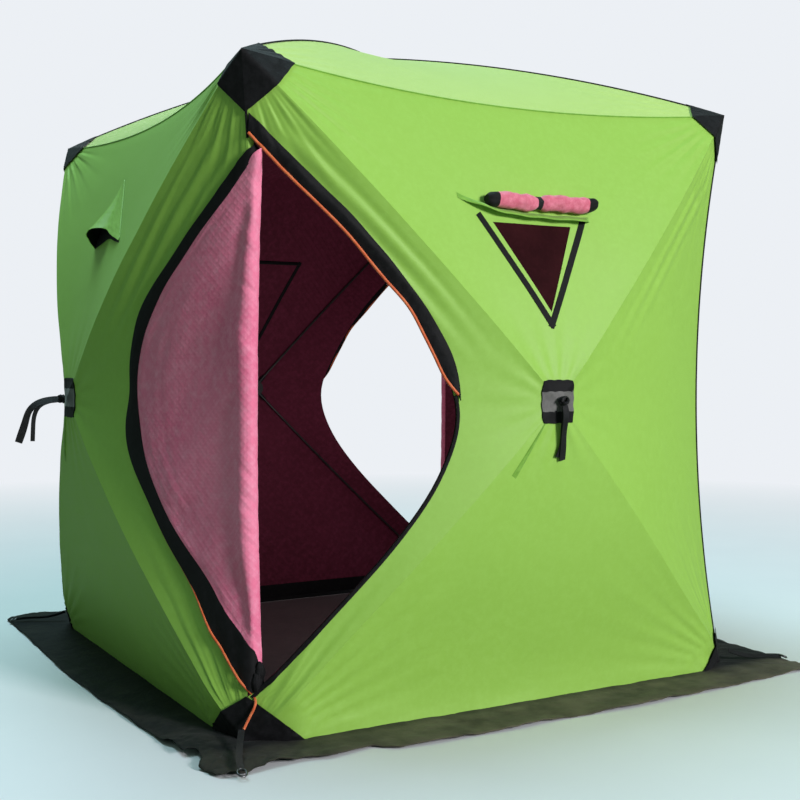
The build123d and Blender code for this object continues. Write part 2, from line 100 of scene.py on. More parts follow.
def make_object(name, points, faces, materials):
    """Mesh object from arrays, linked into the scene."""
    mesh = bpy.data.meshes.new(name)
    mesh.from_pydata([tuple(v) for v in points], [], [tuple(int(i) for i in f) for f in faces])
    mesh.update()
    for material in materials:
        mesh.materials.append(material)
    made = bpy.data.objects.new(name, mesh)
    bpy.context.scene.collection.objects.link(made)
    return made


class Cloth:
    """Collects several grids of one piece, each with its own material."""

    def __init__(self):
        self.verts, self.faces, self.uv, self.slots = [], [], [], []
        self.count = 0

    def add(self, points, faces, uv, slot=0, flip=False):
        """Take in one grid, in the material of that slot; flip turns its faces over."""
        faces = np.asarray(faces)
        if flip:
            faces = faces[:, ::-1]
        self.faces += [tuple(f + self.count) for f in faces]
        self.verts.append(np.asarray(points, float))
        self.uv.append(np.asarray(uv, float))
        self.slots += [slot] * len(faces)
        self.count += len(points)

    def finish(self, name, materials, slot, replaced=(), merge=0.0):
        """The piece as one object that rides on the hut, in place of the model's nodes named."""
        piece = make_object(name, np.vstack(self.verts), self.faces, materials)
        mesh = piece.data
        mesh.polygons.foreach_set("material_index", np.array(self.slots, np.int32))
        mesh.polygons.foreach_set("use_smooth", np.ones(len(mesh.polygons), bool))
        index = np.empty(len(mesh.loops), np.int32)
        mesh.loops.foreach_get("vertex_index", index)
        places = np.vstack(self.uv).astype(np.float32)[index]
        mesh.uv_layers.new(name="UVMap").data.foreach_set("uv", places.ravel())
        if merge:
            joined = bmesh.new()
            joined.from_mesh(mesh)
            bmesh.ops.remove_doubles(joined, verts=joined.verts, dist=merge)
            joined.to_mesh(mesh)
            joined.free()
        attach(piece, "root")
        if replaced:
            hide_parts(*replaced)
        return piece


def grid_faces(rows, columns):
    """Quads of a grid whose points run along each row in turn."""
    r, c = np.meshgrid(np.arange(rows - 1), np.arange(columns - 1), indexing="ij")
    a = (r * columns + c).ravel()
    return np.stack([a, a + 1, a + columns + 1, a + columns], 1)


def triangle_grid(n):
    """Even grid over a triangle: weights of its three corners and the small triangles."""
    weights, faces = [], []
    for k in range(n + 1):
        m = n - k
        a, b = len(weights), len(weights) + m + 1
        weights += [(i / m if m else 0.5, k / n) for i in range(m + 1)]
        for i in range(m):
            faces.append((a + i, a + i + 1, b + i))
            if i < m - 1:
                faces.append((a + i + 1, b + i + 1, b + i))
    return np.array(weights), np.array(faces)


def in_triangle(weights, a, b, c):
    """Points of a triangle from the weights of its corners."""
    u, v = weights[:, :1], weights[:, 1:]
    return (1 - v) * ((1 - u) * np.array(a) + u * np.array(b)) + v * np.array(c)


# The tensioned surfaces


def net(start, end, apex, edge_bow, pole_bow):
    """Control points of one tensioned facet: a bowed outer edge and two bowed pole lines to its apex."""
    start, end, apex = (np.array(p, float) for p in (start, end, apex))
    middle = (start + end) / 2 + np.array(edge_bow) * 2
    side_a = (start + apex) / 2 + np.array(pole_bow) * 2
    side_b = (end + apex) / 2 + np.array(pole_bow) * 2
    belly = (side_a + side_b) / 2 + np.array(edge_bow)
    return np.array([[start, middle, end], [side_a, belly, side_b], [apex, apex, apex]])


def patch_point(control, u, v):
    """Point of a facet; u runs along its outer edge, v from there to its apex."""
    u, v = np.asarray(u, float), np.asarray(v, float)
    bu = np.stack([(1 - u) ** 2, 2 * u * (1 - u), u**2], -1)
    bv = np.stack([(1 - v) ** 2, 2 * v * (1 - v), v**2], -1)
    return np.einsum("...j,...i,jik->...k", bv, bu, control)


LOW_L, LOW_R = (-HALF, -HALF, FLOOR), (HALF, -HALF, FLOOR)
TOP_L, TOP_R = (-HALF, -HALF, HEIGHT), (HALF, -HALF, HEIGHT)
HUB = (0.0, HUB_Y, HUB_Z)
WALL_BOW = (0.0, -POLE_BOW, 0.0)
WALL_NETS = {
    "upper": net(TOP_L, TOP_R, HUB, (0, TOP_BOW * R2, -TOP_BOW * R2), WALL_BOW),
    "lower": net(LOW_L, LOW_R, HUB, (0, 0, 0), WALL_BOW),
    "left": net(LOW_L, TOP_L, HUB, (EDGE_BOW * R2, EDGE_BOW * R2, 0), WALL_BOW),
    "right": net(LOW_R, TOP_R, HUB, (-EDGE_BOW * R2, EDGE_BOW * R2, 0), WALL_BOW),
}
ROOF_NET = net(TOP_L, TOP_R, (0, 0, ROOF_Z), (0, TOP_BOW * R2, -TOP_BOW * R2), (0, 0, POLE_BOW))


def edge_inset(z):
    """How far the bowed corner edge stands in from the corner, along each wall."""
    t = np.clip((np.asarray(z) - FLOOR) / (HEIGHT - FLOOR), 0, 1)
    return EDGE_BOW * R2 * 4 * t * (1 - t)


def invert(control, x, w, axis):
    """Patch parameters of the point at wall position (x, w); axis is the second coordinate used."""
    a, b, c = (control[0, 0], control[0, 2], control[2, 0])
    pa, pb, pc = (p[[0, axis]] for p in (a, b, c))
    t = np.linalg.inv(np.array([pa - pc, pb - pc]).T)
    q = np.stack([x, w], -1) - pc
    bary = q @ t.T
    v = np.clip(1 - bary.sum(-1), -0.1, 0.9995)
    u = np.clip(bary[..., 1] / np.maximum(bary.sum(-1), 1e-6), -0.2, 1.2)
    h = 1e-4
    for _ in range(7):
        p = patch_point(control, u, v)[..., [0, axis]]
        pu = (patch_point(control, u + h, v)[..., [0, axis]] - p) / h
        pv = (patch_point(control, u, v + h)[..., [0, axis]] - p) / h
        r = np.stack([x, w], -1) - p
        det = pu[..., 0] * pv[..., 1] - pu[..., 1] * pv[..., 0]
        det = np.where(np.abs(det) < 1e-9, 1e-9, det)
        u = np.clip(u + (r[..., 0] * pv[..., 1] - r[..., 1] * pv[..., 0]) / det, -0.3, 1.3)
        v = np.clip(v + (pu[..., 0] * r[..., 1] - pu[..., 1] * r[..., 0]) / det, -0.2, 0.9995)
    return u, v


def smooth_step(x, low, high):
    """Soft change from 0 at low to 1 at high."""
    t = np.clip((x - low) / (high - low), 0, 1)
    return t * t * (3 - 2 * t)


def seam_drop(x):
    """How far the bowed top seam hangs below the corners."""
    t = (np.asarray(x) + HALF) / (2 * HALF)
    return TOP_BOW * R2 * 4 * t * (1 - t)


def fan(x, z, cx, cz, rate, phase, reach, start, size, low, high):
    """Straight tension folds that spread from a corner and die out with distance."""
    dx, dz = x - cx, z - cz
    r = np.hypot(dx, dz)
    a = np.arctan2(np.abs(dz), np.abs(dx))
    inside = smooth_step(a, low - 0.06, low + 0.06) * (1 - smooth_step(a, high - 0.06, high + 0.06))
    fade = smooth_step(r, start * 0.7, start * 1.25) * np.exp(-np.maximum(r - start, 0) / reach)
    ridge = 0.62 * np.sin(a * rate + phase) + 0.28 * np.sin(a * rate * 2.3 + phase * 1.7) + 0.25
    return size * ridge * fade * inside


# Folds at a wall's corners: height of the corner, rate by angle, phase step from side to side,
# phase, distance over which they die out, where they start, depth, first and last angle
CORNER_FOLDS = (
    (HEIGHT, 44, 2.1, 0, 0.13, 0.17, 0.0068, 0.10, 0.78),
    (HEIGHT, 38, 1.3, 1, 0.20, 0.17, 0.0036, 0.82, 1.48),
    (FLOOR, 42, 1.9, 2, 0.17, 0.13, 0.0082, 0.06, 0.78),
    (FLOOR, 36, 0.9, 3, 0.22, 0.14, 0.0054, 0.82, 1.45),
)
CREASE_FOLD_DEPTH = 0.0034
CREASE_FOLD_PITCH = 0.052
HUB_FOLD_DEPTH = 0.0022
HUB_FOLDS = 17
HUB_RADIUS = 0.08
SEWN_MARGIN = 0.03


def crease_fold(x, z, side, k, seed):
    """Folds drawn between one top corner and the hub, under the upper crease of that side."""
    slope = math.atan2(HEIGHT - HUB_Z, HALF)
    u = (HALF - side * x) * math.cos(slope) + (HEIGHT - z) * math.sin(slope)
    v = (HALF - side * x) * math.sin(slope) - (HEIGHT - z) * math.cos(slope)
    near = smooth_step(-v, 0.015, 0.05) * (1 - smooth_step(-v, 0.10, 0.17))
    run = smooth_step(u, 0.16, 0.34) * (1 - smooth_step(u, 0.62, 1.15))
    drift = 0.0105 * np.sin(u * 5 + seed + k)
    phase = (v + drift) * 2 * math.pi / CREASE_FOLD_PITCH + seed * 2 + k + u * 3
    return CREASE_FOLD_DEPTH * np.sin(phase) * near * run


def wall_wrinkles(x, z, seed, folds=True):
    """Outward shift of one wall's cloth: tension folds at the corners, soft waves, stress lines."""
    total = np.zeros_like(x)
    for k, side in enumerate((-1, 1) if folds else ()):
        for level, rate, step, phase, *shape in CORNER_FOLDS:
            total += fan(x, z, side * HALF, level, rate, seed + k * step + phase, *shape)
    points = np.stack([x * 0.8, np.full_like(x, seed), z], -1)
    total += 0.0045 * wave(points, 2.6, seed) + 0.0018 * wave(points, 7.0, seed + 3)
    r = np.hypot(x, z - HUB_Z)
    a = np.arctan2(z - HUB_Z, x)
    hub = np.exp(-np.maximum(r - HUB_RADIUS, 0) / 0.11) * smooth_step(r, 0.05, 0.11)
    total += HUB_FOLD_DEPTH * np.sin(a * HUB_FOLDS + seed) * hub
    for k, side in enumerate((-1, 1) if folds else ()):
        total += crease_fold(x, z, side, k, seed)
    # Sewn edges hold the cloth, and the poles under the creases keep it out
    away = HALF - np.abs(x) - edge_inset(z)
    seam = HEIGHT - seam_drop(x) - z
    held = [smooth_step(distance, 0.0, SEWN_MARGIN) for distance in (away, seam, z)]
    total *= held[0] * held[1] * held[2]
    rise = np.where(z > HUB_Z, (HEIGHT - z) / (HEIGHT - HUB_Z), (z - FLOOR) / (HUB_Z - FLOOR))
    crease = np.abs(np.abs(x) - HALF * (1 - rise)) * 0.7
    return np.maximum(total, -0.0012 - 0.05 * crease)


WRINKLE_SEEDS = (0.6, 3.1, 5.7, 8.2)
FOOT_OUT = (0.076, 0.045, 0.055, 0.034)


def wall_surface(x, z, quarter, folds=True):
    """Depth of a wall's outside at each place on it, as if it were the front wall."""
    x, z = np.asarray(x, float), np.asarray(z, float)
    low = FLOOR + (HUB_Z - FLOOR) * np.clip(1 - np.abs(x) / HALF, 0, 1)
    high = HEIGHT - (HEIGHT - HUB_Z) * np.clip(1 - np.abs(x) / HALF, 0, 1)
    y = np.zeros_like(x)
    for name, mask in (
        ("lower", z < low),
        ("upper", z > high),
        ("left", (z >= low) & (z <= high) & (x <= 0)),
        ("right", (z >= low) & (z <= high) & (x > 0)),
    ):
        if mask.any():
            u, v = invert(WALL_NETS[name], x[mask], z[mask], 2)
            y[mask] = patch_point(WALL_NETS[name], u, v)[..., 1]
    # Between the corners the foot of the cloth stands out over the skirt
    foot = FOOT_OUT[quarter] * smooth_step(HALF - np.abs(x), 0.0, 0.15) * np.exp(-np.maximum(z, 0) / 0.13)
    return y - foot - wall_wrinkles(x, z, WRINKLE_SEEDS[quarter], folds)


def wall_points(x, z, quarter, offset=0.0, folds=True):
    """World points on a wall, offset outwards square to the wall's plane."""
    x, z = np.asarray(x, float), np.asarray(z, float)
    offset = np.broadcast_to(np.asarray(offset, float), x.shape)
    y = wall_surface(x, z, quarter, folds)
    return turn(np.stack([x, y - offset, z], -1), quarter)


def lay_on(flat, quarter, offset=0.0):
    """World points of flat wall places."""
    return wall_points(flat[..., 0], flat[..., 1], quarter, offset)


# Curves of the doors


def natural_spline(points, count):
    """Natural spline through the points, sampled evenly."""
    points = np.asarray(points, float)
    t = run_length(points)
    n = len(points)
    h = np.diff(t)
    a = np.zeros((n, n))
    a[0, 0] = a[-1, -1] = 1
    rhs = np.zeros((n, points.shape[1]))
    for i in range(1, n - 1):
        a[i, i - 1], a[i, i], a[i, i + 1] = h[i - 1], 2 * (h[i - 1] + h[i]), h[i]
        rhs[i] = 6 * ((points[i + 1] - points[i]) / h[i] - (points[i] - points[i - 1]) / h[i - 1])
    m = np.linalg.solve(a, rhs)
    s = np.linspace(0, t[-1], count)
    i = np.clip(np.searchsorted(t, s, side="right") - 1, 0, n - 2)
    d0, d1, hh = s - t[i], t[i + 1] - s, h[i]
    return (
        m[i] * (d1**3 / (6 * hh))[:, None]
        + m[i + 1] * (d0**3 / (6 * hh))[:, None]
        + (points[i] / hh[:, None] - m[i] * hh[:, None] / 6) * d1[:, None]
        + (points[i + 1] / hh[:, None] - m[i + 1] * hh[:, None] / 6) * d0[:, None]
    )


def door_curve(side, grow=0.0):
    """Edge of the opening (side -1) or the shut half (side 1) from its top tip to its bottom tip."""
    base = natural_spline(OPEN_EDGE if side < 0 else SHUT_EDGE, 161)
    slope = unit(np.gradient(base, axis=0))
    moved = base + np.stack([-slope[:, 1], slope[:, 0]], 1) * grow
    return np.stack([side * (HALF - moved[:, 0]), moved[:, 1]], 1)


# Grids on the walls and thin closed shells


def door_reach(z, side):
    """Distance from the corner to the door's edge at each height."""
    curve = door_curve(side)
    return np.interp(z, curve[::-1, 1], HALF - side * curve[::-1, 0], left=0.0, right=0.0)


def side_reach(z, side):
    """Distance from the corner to the cloth's edge at the door side: corner edge or door curve."""
    return np.maximum(door_reach(np.asarray(z, float), side), edge_inset(z))


def crease_reach(z):
    """Distance from the corner to the crease at each height."""
    z = np.asarray(z, float)
    up = HALF * (HEIGHT - z) / (HEIGHT - HUB_Z)
    down = HALF * (z - FLOOR) / (HUB_Z - FLOOR)
    return np.maximum(np.where(z > HUB_Z, up, down), 0)


def row_grid(z, near, far, columns):
    """Wall coordinates of rows at heights z, from near(z) to far(z)."""
    t = np.linspace(0, 1, columns)
    x = near[:, None] + (far - near)[:, None] * t
    return x, np.broadcast_to(z[:, None], x.shape)


def side_grid(side, door, step):
    """Rows from the corner edge, or the door's, to the crease."""
    z = np.linspace(FLOOR, HEIGHT, int((HEIGHT - FLOOR) / step) + 1)
    near = side_reach(z, side) if door else edge_inset(z)
    return row_grid(z, side * (HALF - near), side * (HALF - crease_reach(z)), int(0.75 / step))


def lower_grid(step):
    """Rows of the lower facet, between its creases."""
    z = np.linspace(FLOOR, HUB_Z, int((HUB_Z - FLOOR) / step) + 1)
    across = HALF * (1 - (z - FLOOR) / (HUB_Z - FLOOR))
    return row_grid(z, -across, across, int(2 * HALF / step))


def upper_grid(step):
    """Columns at even x, from the crease up to the seam."""
    x = np.linspace(-HALF, HALF, int(2 * HALF / step) + 1)
    low = HUB_Z + (HEIGHT - HUB_Z) * np.abs(x) / HALF
    high = HEIGHT - seam_drop(x)
    t = np.linspace(0, 1, int(0.8 / step))
    z = low[:, None] + (high - low)[:, None] * t
    return np.broadcast_to(x[:, None], z.shape), z


def perimeter(corners, counts, top=None):
    """Closed loop of points round a triangle, the same count on each side as asked."""
    loop = []
    for k in range(3):
        a, b = np.array(corners[k]), np.array(corners[(k + 1) % 3])
        t = np.linspace(0, 1, counts[k] + 1)[:-1, None]
        run = a + (b - a) * t
        if k == 0 and top is not None:
            run[:, 1] = top(run[:, 0])
        loop.append(run)
    return np.vstack(loop)


def window_grid(step):
    """Rings from the window hole out to the edges of the upper facet."""
    counts = (int(1.8 / step), int(1.33 / step), int(1.33 / step))
    outer = perimeter(
        ((-HALF, HEIGHT), (HALF, HEIGHT), (0, HUB_Z)), counts, lambda x: HEIGHT - seam_drop(x)
    )
    inner = perimeter(WINDOW, counts)
    t = np.linspace(0, 1, int(0.42 / step))[:, None, None]
    grid = inner[None] + (outer - inner)[None] * t
    grid = np.concatenate([grid, grid[:, :1]], 1)
    return grid[..., 0], grid[..., 1]


def add_grid(cloth, points, uv, slot=0, flip=False):
    """Add a grid of points to the cloth, with its texture places."""
    rows, columns = points.shape[:2]
    cloth.add(points.reshape(-1, 3), grid_faces(rows, columns), uv.reshape(-1, 2), slot, flip)


def every_other(count):
    """Every second index, and the last."""
    return sorted(set(range(0, count, 2)) | {count - 1})


def border(grid):
    """Points round a grid's edge, in order, closed."""
    return np.concatenate([grid[0], grid[1:, -1], grid[-1, -2::-1], grid[-2:0:-1, 0], grid[:1, 0]])


def add_shell(cloth, top, bottom, uv, slots=(0, 0, 0)):
    """Closed thin shell between two matching grids, its rim with its own points."""
    add_grid(cloth, top, uv, slots[0])
    add_grid(cloth, bottom, uv, slots[1], flip=True)
    a, b = border(top), border(bottom)
    rim = np.stack([b, a])
    edge = border(uv)
    add_grid(cloth, rim, np.stack([edge, edge + 0.004]), slots[2])


def close_ends(cloth, rings, slot=0):
    """Fans over the two open ends of a grid of rings."""
    n = rings.shape[1] - 1
    for end, flip in ((0, True), (-1, False)):
        loop = rings[end, :-1]
        faces = [(i, (i + 1) % n, n) for i in range(n)]
        cloth.add(np.vstack([loop, loop.mean(0)]), faces, np.zeros((n + 1, 2)), slot, flip)


def tube(cloth, path, radius, ring=10, flat=1.0, up=(0, 0, 1)):
    """Round or flattened cord along a path."""
    tangent = unit(np.gradient(path, axis=0))
    side = unit(np.cross(tangent, up))
    top = np.cross(side, tangent)
    a = np.linspace(0, 2 * math.pi, ring + 1)
    across = side[:, None] * np.cos(a)[:, None] + top[:, None] * np.sin(a)[:, None] * flat
    points = path[:, None] + across * radius
    add_grid(cloth, points, pair(run_length(path)[:, None], a * 0.004))
    close_ends(cloth, points)


# Materials


def lin(colour):
    """Scene colour of a screen colour."""
    return tuple(v / 255 / 12.92 if v <= 10.3 else ((v / 255 + 0.055) / 1.055) ** 2.4 for v in colour)


class Tree:
    """Small helper to wire shader nodes."""

    def __init__(self, name):
        self.material = bpy.data.materials.new(name)
        self.material.use_nodes = True
        self.nodes = self.material.node_tree.nodes
        self.links = self.material.node_tree.links
        self.nodes.clear()
        self.out = self.add("ShaderNodeOutputMaterial")
        self.coords = self.add("ShaderNodeTexCoord")

    def add(self, kind, **values):
        made = self.nodes.new(kind)
        for key, value in values.items():
            setattr(made, key, value)
        return made

    def put(self, socket, value):
        if hasattr(value, "links") and hasattr(value, "node"):
            self.links.new(value, socket)
        elif isinstance(value, (tuple, list)) and len(value) == 3 and len(socket.default_value) == 4:
            socket.default_value = (*value, 1.0)
        else:
            socket.default_value = value

    def fed(self, kind, **inputs):
        """A new node with values or links for its named inputs."""
        made = self.add(kind)
        for key, value in inputs.items():
            self.put(made.inputs[key.replace("_", " ")], value)
        return made

    def split(self, vector):
        """The three parts of a vector."""
        return self.fed("ShaderNodeSeparateXYZ", Vector=vector).outputs

    def math(self, operation, a, b=0.0):
        n = self.add("ShaderNodeMath", operation=operation)
        self.put(n.inputs[0], a)
        self.put(n.inputs[1], b)
        return n.outputs[0]

    def noise(self, vector, scale, detail=3.0, rough=0.55, distortion=0.0):
        made = self.fed("ShaderNodeTexNoise", Vector=vector, Scale=scale, Detail=detail)
        made.inputs["Roughness"].default_value = rough
        made.inputs["Distortion"].default_value = distortion
        return made.outputs["Fac"]

    def wave(self, vector, period, direction):
        n = self.add("ShaderNodeTexWave", wave_type="BANDS", bands_direction=direction)
        self.put(n.inputs["Vector"], vector)
        self.put(n.inputs["Scale"], 2 * math.pi / (20 * period))
        return n.outputs["Fac"]

    def ramp(self, value, low, high, to_low=0.0, to_high=1.0):
        n = self.add("ShaderNodeMapRange")
        n.clamp = True
        for socket, v in zip(n.inputs, (value, low, high, to_low, to_high)):
            self.put(socket, v)
        return n.outputs[0]

    def mix(self, factor, a, b, blend="MIX"):
        n = self.add("ShaderNodeMix", data_type="RGBA", blend_type=blend)
        self.put(n.inputs[0], factor)
        self.put(n.inputs[6], a)
        self.put(n.inputs[7], b)
        return n.outputs[2]

    def bump(self, height, distance, strength=1.0, normal=None):
        below = {} if normal is None else {"Normal": normal}
        return self.fed(
            "ShaderNodeBump", Height=height, Distance=distance, Strength=strength, **below
        ).outputs["Normal"]

    def surface(self, colour, rough, normal, sheen=0.0, metal=0.0, spec=0.5, coat=0.0):
        shader = self.fed(
            "ShaderNodeBsdfPrincipled", Base_Color=colour, Roughness=rough, Metallic=metal, Normal=normal,
            Specular_IOR_Level=spec, Sheen_Weight=sheen, Sheen_Roughness=0.45, Coat_Weight=coat,
        )
        self.links.new(shader.outputs[0], self.out.inputs[0])
        return shader


def diamonds(tree, uv, size):
    """Height of small puffed diamonds between crossing stitch lines."""
    u, v, _ = tree.split(uv)
    rise = tree.math("MULTIPLY", tree.math("ADD", u, v), math.pi / size)
    fall = tree.math("MULTIPLY", tree.math("SUBTRACT", u, v), math.pi / size)
    a = tree.math("ABSOLUTE", tree.math("SINE", rise))
    b = tree.math("ABSOLUTE", tree.math("SINE", fall))
    return tree.math("POWER", tree.math("MINIMUM", a, b), 0.55)


def fabric(
    name, colour, dark, light, rough=0.62, weave=0.0016, weave_depth=0.00025, crumple=0.004,
    crumple_scale=9.0, sheen=0.25, spec=0.3, quilt=0.0, quilt_depth=0.003, dust=None, dust_amount=0.0,
    painted_lit_front=0.0,
):
    """Woven cloth: uneven tone, threads, creases and, where asked, quilting with painted shade in its
    hollows, dust, or a front painted paler as if sunlit.
    """
    t = Tree(name)
    place, uv = t.coords.outputs["Object"], t.coords.outputs["UV"]
    broad = t.noise(place, 2.2, 4.0, 0.6)
    fine = t.noise(place, 46.0, 5.0, 0.65)
    tone = t.mix(t.ramp(broad, 0.3, 0.7), lin(dark), lin(colour))
    tone = t.mix(t.ramp(fine, 0.42, 0.78), tone, lin(light))
    threads = t.math("MULTIPLY", t.wave(uv, weave, "X"), t.wave(uv, weave, "Y"))
    tone = t.mix(t.ramp(threads, 0.0, 1.0, 0.0, 0.10), tone, lin(light))
    creases = t.noise(place, crumple_scale, 6.0, 0.62, 0.8)
    normal = t.bump(creases, crumple, 0.55)
    if quilt:
        puff = diamonds(t, uv, quilt)
        # Painted shade: the hollows between the puffed diamonds are darkened towards the dark tone
        tone = t.mix(t.ramp(puff, 0.05, 0.55, 0.30, 0.0), tone, lin(dark))
        normal = t.bump(puff, quilt_depth, 0.8, normal)
    if dust:
        marks = t.ramp(t.noise(place, 5.5, 7.0, 0.7), 0.5, 0.75, 0.0, dust_amount)
        if painted_lit_front:
            # Painted light: the sunlit front of the skirt is painted paler and olive, less so to the left,
            # where the hut's shadow falls
            x, y, _ = t.split(place)
            before, beside = t.ramp(y, -1.02, -0.95, painted_lit_front, 0.0), t.ramp(x, -1.05, -0.35, 0.25, 1.0)
            front = t.math("MULTIPLY", before, beside)
            spread = t.ramp(t.noise(place, 7.0, 6.0, 0.65), 0.32, 0.58, 0.35, 1.0)
            marks = t.math("MAXIMUM", marks, t.math("MULTIPLY", front, spread))
        tone = t.mix(marks, tone, lin(dust))
    normal = t.bump(threads, weave_depth, 0.6, normal)
    t.surface(tone, t.ramp(fine, 0.2, 0.8, rough - 0.06, rough + 0.08), normal, sheen, 0.0, spec)
    return t.material


GREEN = fabric(
    "tent_green", (152, 200, 83), (149, 197, 79), (156, 204, 89), 0.48, crumple=0.0020, crumple_scale=4.0,
    sheen=0.06, spec=0.42,
)
# Painted light: the roof's green is a paler copy of the wall green, standing for the brighter, hazier light
# on the upward roof
PAINTED_LIT_ROOF_GREEN = fabric(
    "painted_lit_roof_green", (180, 209, 108), (174, 205, 102), (186, 214, 116), 0.5, crumple=0.0024, crumple_scale=4.0,
    sheen=0.2, spec=0.3,
)
# Darker green of the seams, also used as painted shade in the hub pleats
SEAM_AND_FOLD_SHADE_GREEN = fabric(
    "seam_and_fold_shade_green", (126, 180, 62), (110, 160, 52), (142, 194, 78), 0.6, crumple=0.001, crumple_scale=60.0
)
MAROON = fabric(
    "lining_maroon", (112, 38, 62), (92, 28, 48), (128, 50, 76), 0.85, sheen=0.05, quilt=0.030,
    quilt_depth=0.002,
)
PINK = fabric(
    "quilted_pink", (252, 140, 174), (240, 114, 154), (253, 160, 190), 0.6, crumple=0.005, crumple_scale=13.0,
    sheen=0.15, quilt=0.021, quilt_depth=0.0009,
)
COVER_PINK = fabric(
    "cover_pink", (228, 114, 140), (196, 84, 110), (240, 144, 166), 0.6, crumple=0.003, crumple_scale=40.0
)
ORANGE = fabric(
    "piping_orange", (226, 108, 58), (204, 84, 42), (238, 138, 88), 0.45, weave=0.0012, crumple=0.0004,
    crumple_scale=90.0,
)
BLACK = fabric(
    "black_cloth", (17, 17, 20), (11, 11, 13), (30, 30, 33), 0.6, crumple=0.004, crumple_scale=14.0,
    sheen=0.06, spec=0.15, dust=(50, 50, 54), dust_amount=0.08,
)
# Black of the zip tape and bindings, also used as painted shade under the vent hoods and in part along a
# corner edge
TAPE_AND_SHADE_BLACK = fabric(
    "zip_tape_and_shade_black", (12, 12, 14), (8, 8, 10), (24, 24, 27), 0.66, weave=0.002, weave_depth=0.0004,
    crumple=0.0015, crumple_scale=30.0, sheen=0.04, spec=0.2,
)
WEBBING = fabric(
    "webbing_black", (15, 15, 18), (10, 10, 12), (32, 32, 36), 0.55, weave=0.003, weave_depth=0.0007,
    crumple=0.0008, crumple_scale=40.0, sheen=0.06, spec=0.25,
)
GREY_PATCH = fabric(
    "hub_patch_grey", (98, 97, 95), (84, 83, 82), (114, 113, 111), 0.5, weave=0.002, crumple=0.0012,
    crumple_scale=30.0,
)
# The skirt's dust colour is also the colour of its painted sunlit front
SKIRT = fabric(
    "skirt_black", (15, 19, 21), (10, 13, 15), (28, 32, 32), 0.6, crumple=0.010, crumple_scale=7.0,
    sheen=0.03, spec=0.12, dust=(118, 113, 96), dust_amount=0.10, painted_lit_front=0.62,
)
FLOOR_CLOTH = fabric(
    "floor_cloth", (64, 47, 50), (48, 34, 37), (82, 64, 66), 0.7, crumple=0.006, crumple_scale=5.0,
    dust=(92, 78, 78), dust_amount=0.3,
)


def window_material():
    """Thin film, hazed and streaked, dark behind; its dark maroon is painted, standing for the shaded lining
    seen through the clear film.
    """
    t = Tree("window_film")
    place = t.coords.outputs["Object"]
    haze = t.noise(place, 9.0, 5.0, 0.6)
    streak = t.noise(place, 60.0, 3.0, 0.5)
    tone = t.mix(t.ramp(haze, 0.35, 0.75), lin((40, 12, 16)), lin((54, 20, 24)))
    tone = t.mix(t.ramp(streak, 0.5, 0.8, 0.0, 0.3), tone, lin((66, 30, 36)))
    normal = t.bump(haze, 0.002, 0.4)
    t.surface(tone, t.ramp(streak, 0.3, 0.7, 0.55, 0.7), normal, 0.0, 0.0, 0.03)
    return t.material


def plastic_material():
    """Moulded plastic of the hubs, fine grain and worn patches."""
    t = Tree("hub_plastic")
    place = t.coords.outputs["Object"]
    grain = t.noise(place, 260.0, 4.0, 0.6)
    wear = t.noise(place, 14.0, 5.0, 0.6)
    tone = t.mix(t.ramp(wear, 0.45, 0.8, 0.0, 0.6), lin((24, 24, 26)), lin((54, 54, 56)))
    t.surface(tone, t.ramp(wear, 0.2, 0.8, 0.37, 0.55), t.bump(grain, 0.0004, 0.5))
    return t.material


def pole_material():
    """Fibreglass of the poles."""
    t = Tree("fibreglass")
    place = t.coords.outputs["Object"]
    streak = t.noise(place, 34.0, 6.0, 0.7)
    grain = t.noise(place, 400.0, 3.0, 0.6)
    tone = t.mix(t.ramp(streak, 0.3, 0.7), lin((28, 26, 26)), lin((58, 55, 54)))
    t.surface(tone, t.ramp(grain, 0.2, 0.8, 0.3, 0.5), t.bump(grain, 0.0003, 0.5), 0, 0, 0.5, 0.2)
    return t.material


def metal_material():
    """Worn wire of the rings."""
    t = Tree("ring_metal")
    place = t.coords.outputs["Object"]
    wear = t.noise(place, 90.0, 5.0, 0.6)
    tone = t.mix(t.ramp(wear, 0.4, 0.75), lin((120, 121, 124)), lin((70, 70, 74)))
    t.surface(tone, t.ramp(wear, 0.2, 0.8, 0.22, 0.45), t.bump(wear, 0.0004, 0.5), 0, 1.0)
    return t.material


WINDOW_FILM = window_material()
PLASTIC = plastic_material()
POLES = pole_material()
METAL = metal_material()


# Cloth of the four walls

STEP = 0.015
NAMES = ("front", "right", "back", "left")
DOOR_SIDE = (-1, 1, -1, 1)
DARK_FOOT = 0.062
WELD = 2e-6


